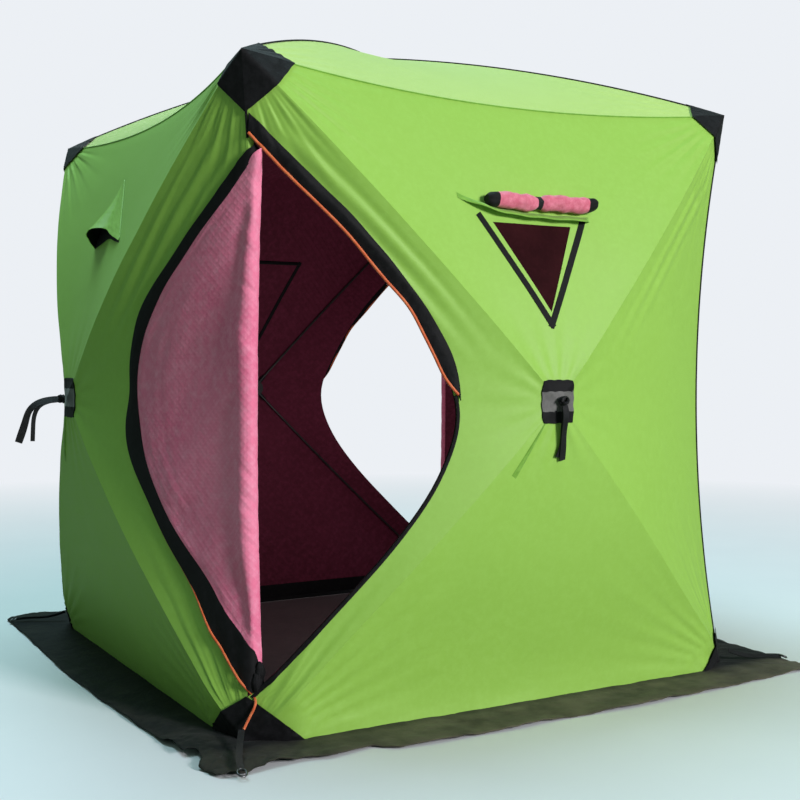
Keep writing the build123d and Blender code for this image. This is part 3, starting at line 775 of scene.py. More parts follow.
def wall_cloth(name, q):
    """Green outside and maroon inside of one wall, dark along its foot, with rims at its openings."""
    cloth = Cloth()
    has_window = q % 2 == 0
    grids = [
        lower_grid(STEP),
        side_grid(DOOR_SIDE[q], True, STEP),
        side_grid(-DOOR_SIDE[q], False, STEP),
        window_grid(STEP) if has_window else upper_grid(STEP),
    ]
    for x, z in grids:
        uv = pair(x, z)
        add_grid(cloth, wall_points(x, z, q), uv, 0)
        pick = np.ix_(every_other(x.shape[0]), every_other(x.shape[1]))
        faces = grid_faces(*x[pick].shape)
        points = wall_points(x[pick], z[pick], q, -SKIN, folds=False).reshape(-1, 3)
        foot = points[faces].mean(1)[:, 2] < DARK_FOOT
        cloth.add(points, faces[~foot], uv[pick].reshape(-1, 2), 1)
        if foot.any():
            cloth.add(points, faces[foot], uv[pick].reshape(-1, 2), 2)
    line = door_curve(DOOR_SIDE[q])
    inside = HALF - edge_inset(line[:, 1])
    rims = [np.stack([np.clip(line[:, 0], -inside, inside), line[:, 1]], 1)]
    if has_window:
        loop = perimeter(WINDOW, (30, 30, 30))
        rims.append(np.vstack([loop, loop[:1]]))
    for line in rims:
        t = np.linspace(0.0, -SKIN, 3)
        rim = np.stack([lay_on(line, q, o) for o in t])
        add_grid(cloth, rim, np.stack([line] * 3), 2)
    panels = [f"{name}_wall_{part}_panel" for part in ("upper", "lower", "door", "side")]
    cloth.finish(f"{name}_wall_cloth", [GREEN, MAROON, TAPE_AND_SHADE_BLACK], "green_fabric", panels, WELD)


for q, name in enumerate(NAMES):
    wall_cloth(name, q)

# Roof


ROOF_FOLDS = 40
ROOF_FOLD_DEPTH = 0.0035


def roof_point(u, v, quarter, offset=0.0, seed=0.0):
    """Points of one roof facet, with soft folds from its corners."""
    p = patch_point(ROOF_NET, u, v)
    edge = np.minimum(np.minimum(u, 1 - u) * (1 - v) * 2 * HALF, v * 0.95)
    fade = smooth_step(edge, 0.0, 0.06)
    h = np.zeros_like(u)
    for k, side in enumerate((-1, 1)):
        dx, dy = p[..., 0] - side * HALF, p[..., 1] + HALF
        r, a = np.hypot(dx, dy), np.arctan2(dy, np.abs(dx))
        fade_out = np.exp(-np.maximum(r - 0.16, 0) / 0.25)
        h += ROOF_FOLD_DEPTH * np.sin(a * ROOF_FOLDS + seed + k) * fade_out
    h += 0.004 * wave(p, 2.4, seed) + 0.0016 * wave(p, 8.0, seed + 2)
    p = p.copy()
    p[..., 2] += np.where(h < 0, h * 0.35, h) * fade + offset
    return turn(p, quarter)


cloth = Cloth()
for q in range(4):
    u, v = np.meshgrid(np.linspace(0, 1, 111), np.linspace(0, 0.9995, 73))
    uv = np.stack([u * 1.8, v], -1)
    add_grid(cloth, roof_point(u, v, q, 0.0, 1.0 + q), uv, 0)
    u, v = u[::2, ::2], v[::2, ::2]
    add_grid(cloth, roof_point(u, v, q, -SKIN, 1.0 + q), np.stack([u * 1.8, v], -1), 1)
panels = [f"roof_{name}_panel" for name in NAMES]
cloth.finish("roof_cloth", [PAINTED_LIT_ROOF_GREEN, MAROON], "green_fabric", panels, WELD)

# Stitched welt along the roof's edge, dark binding down the corner edges; where the binding runs a whole edge
# it also paints the seam's shade along that corner
cloth, binding = Cloth(), Cloth()
t = np.linspace(0.02, 0.98, 160)
for q in range(4):
    seam = patch_point(ROOF_NET, t, np.zeros_like(t))
    seam[:, 1] -= 0.001
    tube(cloth, turn(seam, q), 0.0024, ring=8)
    hip = patch_point(ROOF_NET, np.zeros_like(t), t * 0.98)
    hip[:, 2] += 0.0015
    tube(binding, turn(hip, q), 0.0028, ring=8)
    edge = patch_point(WALL_NETS["left"], t, np.zeros_like(t))
    # Walls 1 and 3 bind their whole left edge, partly as painted shade of the seam; the others only near the
    # caps
    parts = ((t > 0.0) & (t < 0.065), t > 0.875) if q in (0, 2) else (t > 0,)
    for part in parts:
        tube(binding, turn(edge[part], q), 0.0042, ring=8, up=(1, 0, 0))
cloth.finish("seam_welts", [SEAM_AND_FOLD_SHADE_GREEN], "green_fabric")
binding.finish("corner_edge_binding_and_seam_shade", [TAPE_AND_SHADE_BLACK], "black_fabric")

# Black corner caps

CAP_LIFT = 0.006


def cap_facet(a, b, corner, n, wall):
    """Triangle of a cap between three places on one wall."""
    weights, faces = triangle_grid(n)
    flat = in_triangle(weights, a, b, corner)
    return lay_on(flat, wall), faces, flat


def add_cap(cloth, facets, corner, outward, seed):
    """Facets of a cap, lifted off the cloth and a little crumpled away from the corner."""
    for points, faces, uv in facets:
        away = np.linalg.norm(points - corner, axis=1)
        folds = np.abs(wave(points, 26.0, seed)) * 0.5 + np.abs(wave(points, 60.0, seed + 4)) * 0.2
        bulge = CAP_LIFT * (0.35 + folds) * np.clip(away / 0.12, 0.15, 1.0)
        top = points + outward * (CAP_LIFT + bulge)[:, None]
        normal = np.cross(top[faces[0][1]] - top[faces[0][0]], top[faces[0][2]] - top[faces[0][0]])
        cloth.add(top, faces, uv, 0, flip=bool(normal @ outward < 0))


def seam_place(x):
    """Place of the top seam on a wall."""
    return np.array((x, HEIGHT - float(seam_drop(x))))


def edge_place(z):
    """Place of the left corner edge on a wall."""
    return np.array((float(edge_inset(z)) - HALF, z))


# Reach of the caps along the seam on both walls, along the hip, up the edge and along the foot
LEG, SHORT_LEG, RISE, FOOT_LEG = 0.172, 0.140, 0.128, 0.160
HIP_SHARE, SHORT_HIP_SHARE = 0.105, 0.095


def roof_facet(wall, leg, hip_share, right_end):
    """Triangle of a top cap on the roof, from the seam point to the hip point and the corner."""
    weights, faces = triangle_grid(22)
    s, r = weights[:, 0], weights[:, 1]
    along = (1 - r) * (1 - s) * leg / (2 * HALF) + 1e-6
    up = (1 - r) * s * hip_share
    u = along / np.maximum(1 - up, 1e-6)
    u = 1 - u if right_end else u
    points = roof_point(np.clip(u, 0, 1), up, wall, 0.0, 1.0 + wall)
    return points, faces, np.stack([along * 1.8, up], -1)


def add_top_cap(cloth, q, left_wall):
    """Top corner's cap: this wall's left end, the neighbour's right end, and the roof over both."""
    edge = edge_place(HEIGHT - LEG)
    facets = [
        cap_facet(seam_place(LEG - HALF), edge, (-HALF, HEIGHT), 22, q),
        cap_facet(seam_place(HALF - SHORT_LEG), edge * (-1, 1), (HALF, HEIGHT), 22, left_wall),
        roof_facet(q, LEG, HIP_SHARE, False),
        roof_facet(left_wall, SHORT_LEG, SHORT_HIP_SHARE, True),
    ]
    add_cap(cloth, facets, turn(TOP_L, q), unit(turn(np.array((-0.55, -0.55, 0.35)), q)), 2.0 + q)


def add_foot_cap(cloth, q, left_wall):
    """Foot corner's cap: this wall's left end and the neighbour's right end."""
    edge = edge_place(RISE)
    facets = [
        cap_facet((FOOT_LEG - HALF, FLOOR), edge, (-HALF, FLOOR), 20, q),
        cap_facet((HALF - FOOT_LEG, FLOOR), edge * (-1, 1), (HALF, FLOOR), 20, left_wall),
    ]
    add_cap(cloth, facets, turn(LOW_L, q), turn((-R2, -R2, 0.0), q), 6.0 + q)


top_caps = Cloth()
foot_caps = Cloth()
for q in range(4):
    add_top_cap(top_caps, q, (q + 3) % 4)
    add_foot_cap(foot_caps, q, (q + 3) % 4)
top_caps.finish("top_corner_cap_cloth", [BLACK], "black_fabric", ["top_corner_caps"])
foot_caps.finish("foot_corner_cap_cloth", [BLACK], "black_fabric", ["bottom_corner_caps"])

# Corner doors, in distance from the corner and height

FLAP_EDGE = (
    (0.024, 1.698), (0.154, 1.5523), (0.284, 1.4156), (0.3926, 1.2828), (0.4454, 1.2198),
    (0.4887, 1.1421), (0.525, 1.0709), (0.5537, 1.0144), (0.5900, 0.968),
)
FLAP_OUTER = (
    (0.023, 1.752), (0.051, 1.722), (0.152, 1.615), (0.2815, 1.482), (0.441, 1.290),
    (0.501, 1.206), (0.545, 1.1355), (0.575, 1.0715), (0.595, 1.000), (0.5985, 0.950),
)
TAPE_INNER = (
    (-0.022, 1.655), (0.039, 1.598), (0.098, 1.534), (0.211, 1.4235), (0.280, 1.350), (0.337, 1.2915),
    (0.391, 1.220), (0.434, 1.152), (0.4645, 1.083), (0.4835, 1.000), (0.4725, 0.886), (0.4435, 0.7815),
    (0.382, 0.673), (0.292, 0.556), (0.184, 0.4495), (0.082, 0.327), (0.030, 0.272), (-0.021, 0.2147),
    (-0.045, 0.165),
)
TAPE_OUTER = (
    (-0.002, 1.672), (0.0515, 1.625), (0.1046, 1.572), (0.241, 1.4365), (0.322, 1.3526), (0.399, 1.277),
    (0.456, 1.204), (0.490, 1.130), (0.514, 1.042), (0.520, 0.955), (0.5345, 0.884), (0.517, 0.793),
    (0.433, 0.669), (0.315, 0.5155), (0.210, 0.396), (0.159, 0.3217), (0.074, 0.2206), (0.013, 0.1505),
    (-0.016, 0.122),
)
FOLD_TOP, FOLD_LOW, TAPER_START = 1.654, 0.212, 1.625
SHUT_TOP, SHUT_LOW = 1.622, 0.262
GUSSET_TOP, GUSSET_LOW = 1.708, 1.655
FLAP_END = 0.975
ROLL_WIDTH = 0.030
# Soft lumps of the bunched tape at its foot: middle and radii
TAPE_BUNCH = (
    ((-0.850, -0.893, 0.186), (0.015, 0.009, 0.034)),
    ((-0.860, -0.897, 0.158), (0.015, 0.009, 0.034)),
    ((-0.846, -0.889, 0.146), (0.012, 0.008, 0.022)),
    ((-0.870, -0.889, 0.152), (0.012, 0.006, 0.028)),
    ((-0.868, -0.888, 0.136), (0.011, 0.005, 0.013)),
)
PIPING_TOP = 0.950
PIPING_TAIL = ((-0.875, -0.916, 0.108), (-0.890, -0.918, 0.080), (-0.914, -0.926, 0.046))
FOLD_COLUMNS = 86
SHEET_WELD = 1e-5
# How far the fold stands out past the corner edge, at heights from the foot up
ROLL_Z = (0.205, 0.295, 0.405, 0.515, 0.65, 1.15, 1.288, 1.425, 1.563, 1.650)
ROLL_OUT = (-0.030, 0.0015, 0.019, 0.038, 0.048, 0.048, 0.036, 0.020, -0.007, -0.035)


def edge_line(points, side, count):
    """Smooth line through points given as distance from the corner and height."""
    line = natural_spline(points, count)
    return np.stack([side * (HALF - line[:, 0]), line[:, 1]], 1)


def roll_size(z):
    """Fullness of the fold at each height, from 0 to 1."""
    return np.clip((np.interp(z, ROLL_Z, ROLL_OUT) + 0.035) / 0.083, 0, 1)


# Cosine and tangent of the 30 degrees at which the cloth turns off the corner edge
CORNER_COS = 0.866
CORNER_TAN = 0.577


def round_corner(x, z, quarter, offset):
    """World points on the shut wall; past the corner edge they turn on to the open side."""
    limit = HALF - edge_inset(z)
    over = np.maximum(x - limit, 0)
    x = np.minimum(x, limit)
    y = wall_surface(x, z, quarter)
    a = smooth_step(over, 0.0, 0.02) * math.pi / 2
    y = y + CORNER_TAN * over - offset * np.cos(a)
    return turn(np.stack([x + offset * np.sin(a), y, z], -1), quarter)


def strip(cloth, inner, outer, quarter, place, lift, thick, crown, columns=9):
    """Cloth strip between two matching lines on a wall."""
    k = np.linspace(0, 1, columns)
    x, z = np.moveaxis(inner[:, None] + (outer - inner)[:, None] * k[:, None], -1, 0)
    lift = lift + np.zeros_like(x)
    rise = (crown + 0.0012 * wave(np.stack([x, k + 0 * x, z], -1), 22.0, 3.0)) * 4 * k * (1 - k)
    top = place(x, z, quarter, lift + thick + rise)
    bottom = place(x, z, quarter, lift - 0.0006)
    width = np.linalg.norm(outer - inner, axis=1)[:, None]
    add_shell(cloth, top, bottom, pair(run_length(inner)[:, None], width * k))


# The fold's line, from the wall's middle, and its lean towards the foot
FOLD_LINE = 0.826
FOLD_LEAN = 0.010
FOLD_LIFT = 0.0075


def roll_section(z, quarter):
    """Section of the fold at one height, from its inside round to where the half goes on."""
    c = HALF - float(edge_inset(z))
    skin = wall_surface(np.array((c - 0.004, c - 0.030)), np.array((z, z)), quarter) + c
    out = float(np.interp(z, ROLL_Z, ROLL_OUT))
    # The fold is drawn straight between its tips while the corner edge bows in
    tip = c - FOLD_LINE - FOLD_LEAN * (FOLD_TOP - z) / (FOLD_TOP - FOLD_LOW)
    ridge = np.array((-out * 0.78, -0.012))
    wrap = float(np.clip((0.014 - out) / 0.02, 0, 1))
    if z > 1:
        # Near its top the cloth comes round the corner edge in front of it
        reach = max(0.018, (0.0132 - CORNER_COS * out) / 0.92)
        ridge += (np.array((-0.006 + 0.6 * reach, 0.004 - 0.8 * reach)) - ridge) * wrap
    else:
        ridge += (np.array((-out - 0.002, -0.010)) - ridge) * wrap
    bulge = np.array((0.003, -0.003)) * wrap + np.array((0.0, -0.010)) * (1 - wrap)
    middle = (ridge + (tip, 0.001)) / 2 + bulge
    marks = np.array((
        (tip - 0.013, 0.017), (tip - 0.002, 0.011), (tip, 0.001), (tip - 0.006, -0.008),
        middle, ridge, (min(-out, skin[0] - 0.0065), 0.004), (min(-out, skin[1] - 0.0085), 0.030),
    ))
    roll = natural_spline(marks, 48)
    return c, c - roll[:, 1], roll[:, 0] - c


def fold_row(height, far, quarter):
    """One row of the folded half, round its fold and on to the tape, with the length at each point."""
    c, x, y = roll_section(height, quarter)
    run = far - (HALF - c) - ROLL_WIDTH
    if run > 0.002:
        away = np.linspace(0, run, 70)
        out_x = c - ROLL_WIDTH - away
        base = wall_surface(out_x, np.full_like(out_x, height), quarter)
        slack = 0.009 * np.exp(-away / 0.12) + 0.008 * (1 - np.exp(-(run - away) / 0.05))
        blend = np.exp(-away / ROLL_WIDTH)
        out_y = base - (FOLD_LIFT + roll_size(height) * slack) * (1 - blend) + (y[-1] - base[0]) * blend
        x, y = np.concatenate([x, out_x[1:]]), np.concatenate([y, out_y[1:]])
        length = run_length(pair(x, y))
        end = length[-1]
    else:
        length = run_length(pair(x, y))
        end = np.interp(max(run + ROLL_WIDTH, -0.0115), (c - x)[29:], length[29:])
    end *= 1 - 0.35 * np.clip((height - TAPER_START) / (FOLD_TOP - TAPER_START), 0, 1) ** 2
    arc = np.linspace(0, 1, FOLD_COLUMNS) ** 1.1 * end
    row = [np.interp(arc, length, x), np.interp(arc, length, y), np.full(FOLD_COLUMNS, height)]
    return np.stack(row, -1), arc


def flat_wave(across, up, scale, seed):
    """Smooth noise over flat cloth."""
    return wave(np.stack([across, np.zeros_like(across), up], -1), scale, seed)


def blob(cloth, centre, radii, quarter, seed):
    """Small crumpled bunch of cloth."""
    a, b = np.linspace(0.02, math.pi - 0.02, 19)[:, None], np.linspace(0, 2 * math.pi, 29)
    ball = np.stack([np.sin(a) * np.cos(b), np.sin(a) * np.sin(b), np.cos(a) + 0 * b], -1)
    ball[:, -1] = ball[:, 0]
    size = 0.88 + 0.40 * np.abs(wave(ball, 1.5, seed)) + 0.12 * wave(ball, 3.4, seed + 2)
    points = np.array(centre) + ball * radii * size[..., None]
    add_grid(cloth, turn(points, quarter), pair(a, b) * 0.02)


def storm_flap(prefix, open_wall):
    """Storm flap that overhangs the opening, the narrow binding below it, and its orange piping."""
    cloth = Cloth()
    inner, outer = edge_line(FLAP_EDGE, -1, 150), edge_line(FLAP_OUTER, -1, 150)
    lift = 0.0045 + 0.0015 * np.sin(np.linspace(0, 38, 150))[:, None]
    strip(cloth, inner, outer, open_wall, wall_points, lift, 0.0022, 0.004)
    edge = door_curve(-1)
    below = edge[:, 1] < FLAP_END
    rim = door_curve(-1, 0.009)
    strip(cloth, edge[below], rim[below], open_wall, wall_points, 0.0006, 0.0018, 0.0006, 5)
    cloth.finish(f"{prefix}_door_flap_cloth", [BLACK], "black_fabric", [f"{prefix}_door_storm_flap"])
    cloth = Cloth()
    tube(cloth, lay_on(inner, open_wall, 0.0085), 0.0045, up=turn((0, -1, 0), open_wall))
    cloth.finish(
        f"{prefix}_door_edge_piping", [ORANGE], "orange_piping", [f"{prefix}_door_opening_piping"]
    )


def shut_half(prefix, shut_wall):
    """Shut half, which fills the other wall's part of the opening, and the gusset above it."""
    cloth = Cloth()
    z = np.linspace(SHUT_LOW, SHUT_TOP, 120)
    near = edge_inset(z) + 0.0005
    far = np.maximum(door_reach(z, 1) - 0.0005, near + 0.001)
    x, z = row_grid(z, HALF - near, HALF - far, 40)
    top, bottom = (wall_points(x, z, shut_wall, offset) for offset in (-0.0006, -SKIN))
    add_shell(cloth, top, bottom, pair(x, z), (0, 1, 2))
    # The gusset comes round the corner edge
    z = np.linspace(GUSSET_LOW, GUSSET_TOP, 16)
    edge = HALF - edge_inset(z)
    x, z = row_grid(z, edge - 0.004, edge + 0.003 + (GUSSET_TOP - z) * 0.88, 8)
    top, bottom = (round_corner(x, z, shut_wall, offset) for offset in (0.0006, -0.0016))
    add_shell(cloth, top, bottom, pair(x, z), (0, 1, 0))
    replaced = [f"{prefix}_door_closed_half"]
    return cloth.finish(
        f"{prefix}_door_shut_cloth", [GREEN, MAROON, TAPE_AND_SHADE_BLACK], "green_fabric", replaced
    )


FOLD_THICK = 0.0045
PUCKER_DEPTH = 0.0042
TAPE_WRINKLE_DEPTH = 0.0032
SLACK_DEPTH = 0.007
DRAWN_DEPTH = 0.0020


def soften_fold(outer, arc):
    """Soften the step from row to row, and along each row past its roll."""
    for _ in range(4):
        pad = np.pad(outer, ((1, 1), (0, 0), (0, 0)), mode="edge")
        outer[1:-1] = (pad[:-2] + 2 * pad[1:-1] + pad[2:])[1:-1] / 4
    past_roll = smooth_step(arc[:, 1:-1], 0.055, 0.075)[..., None]
    for _ in range(14):
        moved = (outer[:, :-2] + 2 * outer[:, 1:-1] + outer[:, 2:]) / 4
        outer[:, 1:-1] += (moved - outer[:, 1:-1]) * past_roll


def fold_normals(outer):
    """Directions in plan that point out of the folded half, smoothed."""
    tangent = np.gradient(outer, axis=1)
    normal = unit(np.stack([-tangent[..., 1], tangent[..., 0]], -1))
    normal *= np.sign(-normal[..., 1].mean())
    for _ in range(3):
        pad = np.pad(normal, ((1, 1), (1, 1), (0, 0)), mode="edge")
        normal = (pad[:-2, 1:-1] + pad[2:, 1:-1] + pad[1:-1, :-2] + pad[1:-1, 2:]) / 4
    return normal


def fold_relief(height, arc, size):
    """Puckers across the fold, soft slack and drawn lines over the rest, wrinkles along the tape."""
    to_tape = arc[:, -1:] - arc
    slant = flat_wave(arc * 0.30, height - arc * 0.55, 15.0, 5.0)
    pucker = 1 - np.abs(slant) * 2.2 + 0.35 * flat_wave(arc * 0.30, height - arc * 0.55, 41.0, 8.0)
    slack = flat_wave(arc, height + arc * 1.3, 4.6, 7.0)
    drawn = flat_wave(arc * 0.6, height + arc * 1.1, 15.0, 9.0)
    held = smooth_step(arc, 0.07, 0.16) * smooth_step(to_tape, 0.0, 0.06) * size
    on_fold = np.exp(-(((arc - 0.060) / 0.034) ** 2)) * (0.3 + 0.7 * size)
    along = smooth_step(to_tape, 0.004, 0.03) * np.exp(-to_tape / 0.10)
    shift = -PUCKER_DEPTH * pucker.clip(0, 1) ** 3 * on_fold
    shift += TAPE_WRINKLE_DEPTH * flat_wave(to_tape * 5.5, height * 0.8, 7.0, 3.0) * along * size
    return shift + (np.maximum(slack, -0.4) * SLACK_DEPTH + drawn * DRAWN_DEPTH) * held


def folded_half(prefix, shut_wall):
    """Open half folded back over the shut one, its quilted lining outwards."""
    z = np.linspace(FOLD_LOW, FOLD_TOP, 250)
    line = natural_spline(TAPE_INNER, 400)
    reach = np.interp(z, line[::-1, 1], line[::-1, 0]) + 0.006
    rows = [fold_row(height, far, shut_wall) for height, far in zip(z, reach)]
    outer, arc = (np.array(part) for part in zip(*rows))
    soften_fold(outer, arc)
    normal = fold_normals(outer)
    outer[..., :2] += normal * fold_relief(outer[..., 2], arc, roll_size(z)[:, None])[..., None]
    under = outer.copy()
    under[..., :2] -= normal * FOLD_THICK
    wall_y = wall_surface(under[..., 0].clip(-HALF, HALF), under[..., 2], shut_wall)
    held_off = np.minimum(under[..., 1], wall_y - 0.0008)
    under[..., 1] += (held_off - under[..., 1]) * smooth_step(arc, 0.11, 0.14)
    cloth = Cloth()
    add_shell(cloth, turn(outer, shut_wall), turn(under, shut_wall), pair(arc, outer[..., 2]))
    replaced = [f"{prefix}_door_folded_half"]
    folded = cloth.finish(f"{prefix}_door_folded_cloth", [PINK], "pink_lining", replaced, SHEET_WELD)


def zip_tape(prefix, open_wall, shut_wall):
    """Black tape on the folded half's free edge, bunched at its foot, and its orange piping."""
    cloth = Cloth()
    tape_in, tape_out = edge_line(TAPE_INNER, 1, 240), edge_line(TAPE_OUTER, 1, 240)
    strip(cloth, tape_in, tape_out, shut_wall, round_corner, 0.0078, 0.003, 0.002)
    for k, (centre, radii) in enumerate(TAPE_BUNCH):
        blob(cloth, centre, radii, open_wall, 3.0 + k * 2)
    cloth.finish(f"{prefix}_door_tape_cloth", [TAPE_AND_SHADE_BLACK], "black_fabric", [f"{prefix}_door_zip_tape"])
    # The piping starts on the broad part and runs on over the foot of the corner
    cloth = Cloth()
    line = tape_out[tape_out[:, 1] <= PIPING_TOP] - (0.002, 0)
    proud = 0.0115 - 0.0065 * smooth_step(line[:, 1], 0.22, 0.50)
    path = turn(round_corner(line[:, 0], line[:, 1], shut_wall, proud), -open_wall)
    joined = natural_spline(np.vstack([path[-19::6], PIPING_TAIL]), 60)
    path = turn(np.vstack([path[:-19], joined]), open_wall)
    tube(cloth, path, 0.0040, up=turn((-0.7, -0.7, 0), open_wall))
    cloth.finish(
        f"{prefix}_door_flap_edge_piping", [ORANGE], "orange_piping", [f"{prefix}_door_flap_piping"]
    )


for prefix, open_wall, shut_wall in (("near", 0, 3), ("far", 2, 1)):
    storm_flap(prefix, open_wall)
    shut = shut_half(prefix, shut_wall)
    folded_half(prefix, shut_wall)
    zip_tape(prefix, open_wall, shut_wall)

# Windows with their rolled covers

TAPE_V = np.array(((-0.203, 1.500), (0.0035, 1.163), (0.199, 1.504)))
LINING_COVER = np.array(((-0.17, 1.51), (0.17, 1.51), (0.0, 1.15)))
COVER_X, COVER_Z, COVER_REACH, COVER_RADIUS = 0.033, 1.551, 0.204, 0.0245
STRAP_X, STRAP_WIDTH = 0.019, 0.018
HEM_LINE = (
    (-0.262, 1.553), (-0.190, 1.530), (-0.120, 1.514), (-0.037, 1.507), (0.080, 1.504), (0.215, 1.505),
)


def add_triangle(cloth, corners, quarter, front, back, slot):
    """Thin triangle on a wall, between two offsets from it."""
    weights, faces = triangle_grid(26)
    flat = in_triangle(weights, *corners)
    cloth.add(lay_on(flat, quarter, front), faces, flat, slot)
    cloth.add(lay_on(flat, quarter, back), faces, flat, slot, flip=True)


def window(name, q):
    """Film in the window, touch tape in a V beside it, and the lining's own cover behind."""
    cloth = Cloth()
    add_triangle(cloth, WINDOW, q, -0.0016, -0.0034, 0)
    cloth.finish(f"{name}_window_film", [WINDOW_FILM], "window_film", [f"{name}_window_pane"])
    cloth = Cloth()
    for a, b in zip(TAPE_V, TAPE_V[1:]):
        line = a + (b - a) * np.linspace(0, 1, 60)[:, None]
        square = unit(np.array((a[1] - b[1], b[0] - a[0])))
        grid = line[:, None] + square * np.linspace(-0.004, 0.016, 5)[:, None]
        add_shell(cloth, lay_on(grid, q, 0.0022), lay_on(grid, q, -0.0004), grid)
    add_triangle(cloth, LINING_COVER, q, -0.0075, -0.0058, 1)
    for a, b in zip(LINING_COVER, np.roll(LINING_COVER, -1, axis=0)):
        line = a + (b - a) * np.linspace(-0.02, 1.02, 40)[:, None]
        tube(cloth, lay_on(line, q, -0.0085), 0.008, ring=8, flat=0.3, up=turn((0, 1, 0), q))
    replaced = [f"{name}_window_touch_tape"]
    cloth.finish(f"{name}_window_tape_cloth", [TAPE_AND_SHADE_BLACK, MAROON], "black_fabric", replaced)


SPIN = np.linspace(0, 2 * math.pi, 37)


def window_cover(name, q):
    """Cover rolled up above the window, with its rings handed on for the strap."""
    cloth = Cloth()
    t = np.linspace(-1, 1, 100)[:, None]
    cx = COVER_X + t * COVER_REACH
    cy = wall_surface(cx, np.full_like(t, 1.55), q) - 0.0255
    cz = COVER_Z + 0.003 * t - 0.003 * (1 - t**2) + 0.002 * np.sin(t * 7)
    waist = 1 - 0.26 * np.exp(-(((cx - STRAP_X) / 0.020) ** 2))
    radius = COVER_RADIUS * waist * (1 + 0.05 * np.sin(t * 19 + 1)) * (1 - 0.45 * np.abs(t) ** 14)
    around = np.stack(np.broadcast_arrays(t * 7, np.cos(SPIN), np.sin(SPIN)), -1)
    ridge = 1 + 0.06 * np.sin(SPIN * 3 + 0.5) + 0.10 * wave(around, 1.6, 2.0)
    ridge += 0.05 * np.sin(SPIN * 2 + cx * 90) * np.exp(-(((cx - STRAP_X) / 0.05) ** 2))
    reach = radius * ridge
    roll = np.stack(np.broadcast_arrays(cx, cy + reach * np.cos(SPIN), cz + reach * np.sin(SPIN)), -1)
    uv = pair(cx, SPIN * 0.0225).reshape(-1, 2)
    faces = grid_faces(*roll.shape[:2])
    points = turn(roll, q)
    ends = np.abs(roll.reshape(-1, 3)[faces][..., 0] - COVER_X).mean(1) > 0.166
    cloth.add(points.reshape(-1, 3), faces[~ends], uv, 0)
    cloth.add(points.reshape(-1, 3), faces[ends], uv, 1)
    close_ends(cloth, points, 1)
    replaced = [f"{name}_window_cover_roll"]
    rolled = cloth.finish(f"{name}_window_cover", [COVER_PINK, TAPE_AND_SHADE_BLACK], "pink_lining", replaced)
    return roll


def cover_strap(name, q, roll):
    """Strap that gathers the rolled cover."""
    cloth = Cloth()
    loop = roll[int(np.argmin(np.abs(roll[:, 0, 0] - STRAP_X)))]
    centre = loop.mean(0)
    sides = np.array((-0.5, 0.5))[:, None] * STRAP_WIDTH
    outer, inner = (
        np.stack(np.broadcast_arrays(centre[0] + sides, *(centre + (loop - centre) * grow).T[1:]), -1)
        for grow in (1.10, 1.02)
    )
    uv = pair(SPIN * 0.02, sides + STRAP_WIDTH / 2)
    add_shell(cloth, turn(outer, q), turn(inner, q), uv)
    cloth.finish(f"{name}_window_cover_strap", [WEBBING], "black_webbing")


def window_hem(name, q):
    """Green hem that the rolled cover rests on."""
    cloth = Cloth()
    x, z = natural_spline(HEM_LINE, 90).T[..., None]
    k = np.linspace(0, 1, 7)
    ends = smooth_step(x + 0.262, 0.0, 0.09) * smooth_step(0.218 - x, 0.0, 0.03)
    out = 0.001 + 0.027 * ends * k
    z = z + 0.010 - 0.012 * k**2 + 0.0012 * np.sin(x * 60)
    x = x + 0 * z
    add_shell(cloth, wall_points(x, z, q, out), wall_points(x, z - 0.0045, q, out), pair(x, z))
    cloth.finish(f"{name}_window_hem", [SEAM_AND_FOLD_SHADE_GREEN], "green_fabric")


for q in (0, 2):
    window(NAMES[q], q)
    cover_strap(NAMES[q], q, window_cover(NAMES[q], q))
    window_hem(NAMES[q], q)

# Vent hoods, drawn out from a peak to a lip that stands off the wall

HOOD_PEAK = np.array((-0.058, 1.690))
HOOD_RIM = (
    (-0.100, 1.450, 0.000), (-0.070, 1.470, 0.032), (-0.030, 1.494, 0.062), (0.008, 1.506, 0.058),
    (0.040, 1.505, 0.026), (0.085, 1.490, 0.018), (0.150, 1.468, 0.012), (0.201, 1.452, 0.000),
)
HOOD_SILL = ((-0.100, 1.447), (-0.020, 1.462), (0.050, 1.470), (0.120, 1.458), (0.200, 1.446))

def vent_hood(name, q):
    """Hood drawn out from its peak to its lip, with painted shade: a black underside and a black sheet on the
    wall under its mouth.
    """
    rim = natural_spline(HOOD_RIM, 61)
    proud = np.maximum(rim[:, 2], 0)
    proud[[0, -1]] = 0
    s = np.linspace(0.02, 1, 34)[:, None]
    x = HOOD_PEAK[0] + (rim[:, 0] - HOOD_PEAK[0]) * s
    z = HOOD_PEAK[1] + (rim[:, 1] - HOOD_PEAK[1]) * s
    ripple = np.abs(wave(np.stack([x * 2, s + 0 * x, z * 0.4], -1), 16.0, q))
    out = 0.0012 + proud * s**1.9 + 0.0035 * ripple * s
    cloth = Cloth()
    top = wall_points(x, z, q, out + 0.001)
    bottom = wall_points(x, z, q, np.maximum(out - 0.0012, 0.0004))
    # Painted shade: the hood's underside takes the black tape cloth
    add_shell(cloth, top, bottom, pair(x, z), (0, 1, 0))
    # Painted shade: a black sheet on the wall stands for the shade in the hood's mouth
    start = pair(x, z)[14]
    mouth = start + (natural_spline(HOOD_SILL, 61) - start) * np.linspace(0, 1, 9)[:, None, None]
    add_grid(cloth, lay_on(mouth, q, 0.0016), mouth, 1)
    replaced = [f"{name}_wall_vent_hood"]
    cloth.finish(f"{name}_wall_vent_cloth", [GREEN, TAPE_AND_SHADE_BLACK], "green_fabric", replaced)


for q in (1, 3):
    vent_hood(NAMES[q], q)

# Hub patches and pull straps


